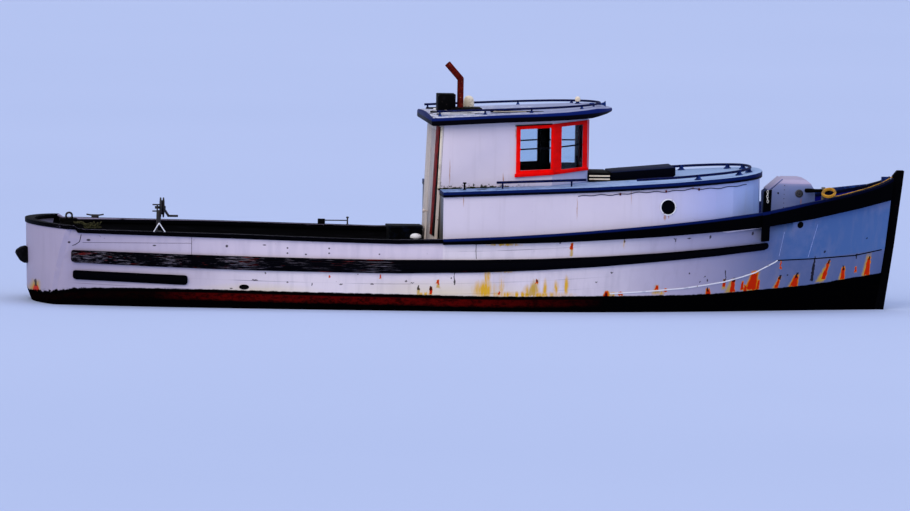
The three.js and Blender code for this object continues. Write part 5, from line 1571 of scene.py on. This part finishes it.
# %% Hood fittings
hood_side = skin("companion_hood", 4.123, 1.40)[0].y
dress(turned("hood_fitting", (
    (0.046, -0.002), (0.050, 0.003), (0.048, 0.010), (0.036, 0.014), (0.034, 0.010),
    (0.020, 0.009), (0.018, 0.018), (0.008, 0.020),
), (4.123, hood_side, 1.457), (0, -1, 0), 28), galvanised, "hood_paint")
dress(turned("hood_plug", ((0.012, -0.001), (0.011, 0.004), (0.005, 0.006)),
             (3.861, hood_side, 1.4585), (0, -1, 0), 14), black_gap, "hood_paint")
nail = dress(turned("hood_nail_0", ((0.006, -0.001), (0.0055, 0.002), (0.002, 0.003)),
                    (3.930, hood_side, 1.28), (0, -1, 0), 10), galvanised, "hood_paint")
for number in range(1, 6):
    again(nail, f"hood_nail_{number}", shift=(0.002 * number, 0, 0.055 * number))
for piece in ("hood_fitting", "hood_plug"):
    again(bpy.data.objects[piece], piece + "_port")
dress(turned("mooring_bar_sleeve", (
    (0.012, -0.008), (0.024, -0.002), (0.028, 0.020), (0.026, 0.070), (0.0215, 0.130),
    (0.0215, 0.305), (0.012, 0.309),
), (4.193, -0.423, 1.499), (1, 0, 0), 24), black_gap, "black_trim")
print("hood side at y", round(hood_side, 3))

# %% Chain on the fender post
LINKS, LINK_PITCH = 5, 0.029
link_at = outside("sheer_guard_starboard", 3.640, 1.52, 0.008)
start()
bpy.ops.mesh.primitive_torus_add(location=link_at, rotation=(math.pi / 2, 0, 0),
                                 major_radius=0.013, minor_radius=0.0034,
                                 major_segments=20, minor_segments=8)
link = named("chain_link_0")
open_whole(link)
bpy.ops.transform.resize(value=(0.8, 1, 1.45), center_override=tuple(link_at))
bpy.ops.object.mode_set(mode="OBJECT")
bpy.ops.object.transform_apply(location=True, rotation=True, scale=True)
dress(link, chain_metal, "rail_metal")
for number in range(1, LINKS):
    fall = -LINK_PITCH * number
    made = again(link, f"chain_link_{number}", shift=(0.003 * math.sin(number * 2.0), 0, fall))
    if number % 2:
        open_whole(made)
        bpy.ops.transform.rotate(value=math.radians(80), orient_axis="Z",
                                 center_override=tuple(link_at + Vector((0, 0, fall))))
        bpy.ops.object.mode_set(mode="OBJECT")
print("chain links:", LINKS)

# %% [markdown]
# ## Lines on the planking
# A white half-round moulding closes the edge of the sheathing low on the bow, and from its
# end a dark open seam runs to the stem. Two pale butts cross the bow planking, and one dark
# butt shows under the guard amidships. The aft bulwark has a dark plank line, a butt and a
# crack. All are thin bars that follow the skin.

# %% Lines on the hull
def along_hull(name, places, radius, proud, paint, node="hull"):
    """A thin bar over the planking through (x, z) places, and its twin to port."""
    line = []
    for (x, z), (x2, z2) in zip(places, places[1:]):
        count = max(2, round(math.hypot(x2 - x, z2 - z) / 0.06))
        line += [(x + (x2 - x) * i / count, z + (z2 - z) * i / count) for i in range(count)]
    line.append(places[-1])
    points = [outside(node, x, z, proud) for x, z in line]
    again(dress(drawn(name, [points], radius), paint, "hull_paint"), name + "_port")


along_hull("sheathing_edge", (
    (1.685, 0.232), (2.162, 0.260), (2.639, 0.298), (2.917, 0.337), (3.144, 0.373),
    (3.371, 0.432), (3.546, 0.487), (3.660, 0.545), (3.796, 0.613), (3.832, 0.638),
), 0.0085, 0.001, white_enamel)
along_hull("bow_seam", (
    (3.832, 0.638), (4.284, 0.652), (4.560, 0.668), (4.850, 0.687), (5.030, 0.722),
    (5.195, 0.754),
), 0.0080, -0.002, black_gap)
along_hull("bow_butt", ((4.342, 1.090), (4.231, 0.670)), 0.0035, -0.0015, pale_seam)
along_hull("quarter_butt", ((3.905, 1.000), (3.850, 0.690)), 0.0030, -0.0015, pale_seam)
along_hull("mid_butt", ((-0.016, 0.847), (-0.018, 0.760), (-0.011, 0.659)), 0.004, -0.0015,
           black_gap)
along_hull("aft_plank_line", ((-4.895, 0.790), (-4.232, 0.798), (-3.557, 0.806)), 0.0025,
           -0.0010, black_gap, "bulwark_starboard")
along_hull("aft_butt", ((-3.552, 0.880), (-3.546, 0.663)), 0.0030, -0.0010, black_gap,
           "bulwark_starboard")
along_hull("aft_crack", ((-4.915, 0.890), (-4.932, 0.800), (-4.982, 0.762), (-5.020, 0.750)),
           0.0045, -0.0010, black_gap, "bulwark_starboard")
print("hull lines made on both sides")

# %% [markdown]
# ## Gear on the roof
# The stack stands on a black flashing plate beside a cream dome. Long flat slats, some black
# and some bleached, lie loose on the aft part of the roof. Forward there are a navy horn, a
# lamp with a pale lens, and a board. A black drip rail runs over the aft
# end of the side window.

# %% Roof gear
def roof_z(x, y):
    """The height of the roof's top."""
    return top_of("wheelhouse_roof", x, y).z


under_stack = roof_z(-0.05, 0.0)
dress(boxed("stack_flashing", (-0.236, -0.200, under_stack - 0.004),
            (0.151, 0.200, under_stack + 0.022), 0.006), black_box, "black_box")
dome_z = roof_z(0.02, 0.25)
dress(turned("roof_dome", (
    (0.078, -0.004), (0.078, 0.012), (0.068, 0.020), (0.066, 0.085), (0.060, 0.115),
    (0.044, 0.138), (0.022, 0.150), (0.006, 0.153),
), (0.02, 0.25, dome_z), sides=28), cream_paint, "house_paint")
lamp_at = (1.391, 0.30, roof_z(1.391, 0.30))
dress(turned("roof_lamp_base", ((0.034, -0.003), (0.034, 0.008), (0.022, 0.014),
                                (0.020, 0.026)), lamp_at, sides=20), navy_fitting, "rail_metal")
dress(turned("roof_lamp_lens", ((0.020, 0.026), (0.030, 0.030), (0.034, 0.048), (0.032, 0.072),
                                (0.020, 0.086), (0.006, 0.090)), lamp_at, sides=20),
      cream_paint, "house_paint")
horn_at = Vector((1.480, -0.30, roof_z(1.48, -0.30) + 0.026))
dress(turned("roof_horn", (
    (0.014, 0.0), (0.018, 0.010), (0.016, 0.050), (0.011, 0.070), (0.012, 0.150),
    (0.020, 0.180), (0.036, 0.198), (0.037, 0.202), (0.028, 0.196),
), horn_at, (1, 0, 0.03), 20), navy_fitting, "rail_metal")
dress(boxed("roof_horn_foot", (1.520, -0.312, roof_z(1.53, -0.30) - 0.003),
            (1.545, -0.288, horn_at.z), 0.003), navy_fitting, "rail_metal")
board_z = roof_z(0.53, -0.80)
dress(boxed("roof_board", (0.195, -0.830, board_z - 0.004),
            (0.860, -0.775, board_z + 0.018), 0.004), black_box, "black_box")
dress(boxed("roof_board_strip", (0.230, -0.836, board_z + 0.004),
            (0.640, -0.829, board_z + 0.012), 0.002), cream_paint, "house_paint")
for number, (x, y, long, swing, paint) in enumerate((
    (-0.470, -0.72, 0.30, 12, black_box), (-0.380, -0.55, 0.36, -8, white_enamel),
    (-0.420, -0.80, 0.42, 3, white_enamel), (-0.300, -0.66, 0.28, -18, black_box),
    (-0.520, -0.38, 0.24, 20, black_box), (-0.340, -0.42, 0.34, 6, cream_paint),
    (-0.180, -0.76, 0.30, -4, black_box), (-0.440, 0.10, 0.30, 25, white_enamel),
    (-0.500, 0.45, 0.34, -14, black_box), (-0.060, -0.60, 0.20, 10, white_enamel),
)):
    slat_z = roof_z(x + long / 2, y)
    slat = boxed(f"roof_slat_{number}", (x, y - 0.014, slat_z - 0.002),
                 (x + long, y + 0.014, slat_z + 0.012 + 0.004 * (number % 3)), 0.002)
    dress(slat, paint, "black_box" if paint is black_box else "house_paint")
    open_whole(slat)
    bpy.ops.transform.rotate(value=math.radians(swing), orient_axis="Z",
                             center_override=(x + long / 2, y, slat_z))
    bpy.ops.object.mode_set(mode="OBJECT")
drip_line = []
WALL_END = 0.56  # further forward the wall is a window; the rail keeps its distance there
for number in range(10):
    x = 0.50 + 0.975 * number / 19
    side_y = skin("wheelhouse_side_starboard", min(x, WALL_END), 2.25)[0].y
    drip_line.append((x, side_y - 0.016, 2.290 + 0.0620 * (x - 0.532)))
dress(drawn("drip_rail", [drip_line], 0.008), black_box, "black_box")
print("roof gear made; dome on", round(dome_z, 3), "m")

# %% [markdown]
# ## Crate aft of the hatch
# A low black crate stands on the raised deck against the hatch, with two pale battens nailed
# along its near side.

# %% Crate
crate_floor = top_of("raised_deck", 1.60, -0.30).z
dress(boxed("deck_crate", (1.475, -0.420, crate_floor - 0.004),
            (1.745, 0.420, crate_floor + 0.108), 0.006), black_box, "black_box")
for number, height in enumerate((0.030, 0.070)):
    dress(boxed(f"crate_batten_{number}", (1.480, -0.430, crate_floor + height - 0.008),
                (1.740, -0.419, crate_floor + height + 0.010), 0.002), cream_paint,
          "house_paint")
print("crate on", round(crate_floor, 3), "m")

# %% [markdown]
# ## Hauler stand and pegs
# The hauler's post stands in a flat stand on the rail with two white splayed legs. Two pegs
# cross the post to belay a line.

# %% Hauler stand
GURDY_X, GURDY_Y = -3.965, -1.395
rail_top = top_of("cap_rail_starboard", GURDY_X, -1.33).z
dress(boxed("hauler_stand", (GURDY_X - 0.024, GURDY_Y - 0.034, 1.030),
            (GURDY_X + 0.022, GURDY_Y + 0.034, 1.215), 0.004), gurdy_iron, "gurdy_iron")
for name, foot_x in (("aft", -4.030), ("fore", -3.890)):
    leg = [(GURDY_X, GURDY_Y - 0.036, 1.058), (foot_x, GURDY_Y - 0.036, rail_top + 0.004)]
    dress(drawn(f"hauler_leg_{name}", [leg], 0.0065), white_enamel, "gurdy_iron")
for number, height in enumerate((1.205, 1.285)):
    peg = [(GURDY_X + reach, GURDY_Y - 0.024, height) for reach in (-0.085, 0.012)]
    dress(drawn(f"hauler_peg_{number}", [peg], 0.0085), gurdy_iron, "gurdy_iron")
print("hauler on the rail at", round(rail_top, 3), "m")

# %% [markdown]
# ## Scupper and bow pad
# Low on the side an oval scupper drains the deck, its rim blackened by the water that runs
# through it. A round black pad stands under the guard at the bow, where a fender line is tied.

# %% Scupper and pad
scupper_at, scupper_way = skin("hull", -2.886, 0.269)
scupper = turned("scupper", ((0.031, -0.006), (0.031, 0.005), (0.027, 0.008), (0.023, 0.005),
                             (0.004, 0.004)), scupper_at, scupper_way, 28)
open_whole(scupper)
bpy.ops.transform.resize(value=(2.0, 1, 1), center_override=tuple(scupper_at))
bpy.ops.object.mode_set(mode="OBJECT")
dress(scupper, black_gap, "black_trim")
again(scupper, "scupper_port")
pad_at, pad_way = skin("hull", 4.110, 1.085)
pad = dress(turned("bow_pad", ((0.042, -0.003), (0.042, 0.004), (0.036, 0.008), (0.018, 0.010),
                               (0.015, 0.022), (0.006, 0.024)), pad_at, pad_way, 24),
            black_gap, "black_trim")
again(pad, "bow_pad_port")
print("scupper at y", round(scupper_at.y, 3), "and pad at y", round(pad_at.y, 3))

# %% [markdown]
# ## Stern bitt and net heap
# An iron ring sits on the stern bitt, with a black block across it and an old black rope
# wound round it in rising turns. A handful of old net twine lies on the quarter: one wandering
# line of loops, drawn from a seeded list of steps so that it always falls the same.

# %% Bitt ring, bitt rope and twine
bitt_low, bitt_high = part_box("stern_bitt")
bitt_x = (bitt_low[0] + bitt_high[0]) / 2
ring_line = []
for number in range(24):
    angle = 2 * math.pi * number / 24
    ring_line.append((bitt_x + 0.002 + 0.038 * math.cos(angle), 0.002 * math.sin(angle * 3),
                      bitt_high[2] + 0.042 + 0.038 * math.sin(angle)))
dress(drawn("bitt_ring", [ring_line + ring_line[:1]], 0.0125), gurdy_iron, "black_trim")
dress(boxed("bitt_block", (bitt_x - 0.115, -0.065, bitt_high[2] - 0.030),
            (bitt_x + 0.105, 0.065, bitt_high[2] + 0.012), 0.010), black_gap, "black_trim")
coiled = []
BITT_STEPS = 130
for number in range(BITT_STEPS + 1):
    angle, climb = number * 0.242, number / BITT_STEPS
    wide = 0.118 - 0.066 * climb + 0.007 * math.sin(number * 0.37)
    coiled.append((bitt_x + wide * math.cos(angle), wide * math.sin(angle),
                   bitt_high[2] - 0.080 + 0.090 * climb))
dress(drawn("bitt_rope", [coiled], 0.0125, sides=1), black_gap, "rope_yellow", angle=60)
chance = random.Random(11)
heap = []
HEAP_POINTS, CAP_TOP, DECK_TOP, HEAP_TOP = 190, 1.028, 0.969, 1.060
for number in range(HEAP_POINTS):
    angle = number * 0.62
    sway = 0.05 + 0.10 * chance.random()
    x = -4.850 + 0.10 * math.sin(number * 0.043) + 0.6 * sway * math.cos(angle)
    y = -1.200 + 0.03 * math.sin(number * 0.071) + 0.45 * sway * math.sin(angle)
    rest = CAP_TOP if x < -4.885 else DECK_TOP
    heap.append((x, y, rest + (HEAP_TOP - rest) * (number / HEAP_POINTS) * chance.random()))
dress(drawn("net_twine", [heap], 0.0075, sides=1), olive_rope, "rope_yellow", angle=60)
print("twine points:", len(heap))

# %% [markdown]
# ## Rail fittings and the bow
# A guide rod, a ring post and a block stand on the port rail, and a horn cleat further aft.
# A navy wash board rises over the port bow rail, and a chock box sits by the stem.

# %% Rail fittings
def cap_z(x, y):
    """The height of the port cap rail's top."""
    return top_of("cap_rail_port", x, y).z


rod_z = cap_z(-1.55, 1.43) + 0.052
dress(drawn("guide_rod", [[(-1.719, 1.42, rod_z), (-1.382, 1.42, rod_z)]], 0.007), gurdy_iron,
      "gurdy_iron")
dress(turned("ring_post", ((0.020, -0.002), (0.020, 0.006), (0.010, 0.012), (0.009, 0.080),
                           (0.018, 0.088), (0.018, 0.098), (0.008, 0.104)),
             (-1.372, 1.42, cap_z(-1.372, 1.42)), sides=16), galvanised, "gurdy_iron")
dress(boxed("rail_block", (-1.745, 1.395, cap_z(-1.70, 1.42) - 0.002),
            (-1.655, 1.445, cap_z(-1.70, 1.42) + 0.068), 0.006), black_box, "black_trim")
cleat_z = cap_z(-4.555, 1.29)
dress(boxed("cleat_foot", (-4.600, 1.262, cleat_z - 0.002), (-4.510, 1.312, cleat_z + 0.026),
            0.006), gurdy_iron, "black_trim")
horns = [(-4.663, 1.287, cleat_z + 0.040), (-4.610, 1.287, cleat_z + 0.031),
         (-4.500, 1.287, cleat_z + 0.031), (-4.447, 1.287, cleat_z + 0.040)]
dress(drawn("cleat_horns", [horns], 0.0095), gurdy_iron, "black_trim")
print("rod height", round(rod_z, 3))

# %% Bow wash board and chock
board_line = []
for x in (4.20, 4.34, 4.48, 4.62, 4.76, 4.90, 5.04):
    y = skin("sheer_guard_port", x, 1.310 + 0.20 * (x - 4.2), side=1)[0].y
    board_line.append(Vector((x, y - 0.050, 1.335 + 0.150 * (x - 4.2))))
section = [board_line[0] + Vector(c) for c in
           ((0, 0, 0), (0, -0.024, 0), (0, 0, 0.085), (0, -0.024, 0.085))]
dress(swept("bow_wash_board", section,
            [b - a for a, b in zip(board_line, board_line[1:])], 0.002), navy_fitting,
      "bulwark_paint")
dress(boxed("bow_chock", (5.205, 0.075, 1.560), (5.300, 0.150, 1.652), 0.008), navy_fitting,
      "bulwark_paint")
print("wash board from", round(board_line[0].x, 2), "to", round(board_line[-1].x, 2))
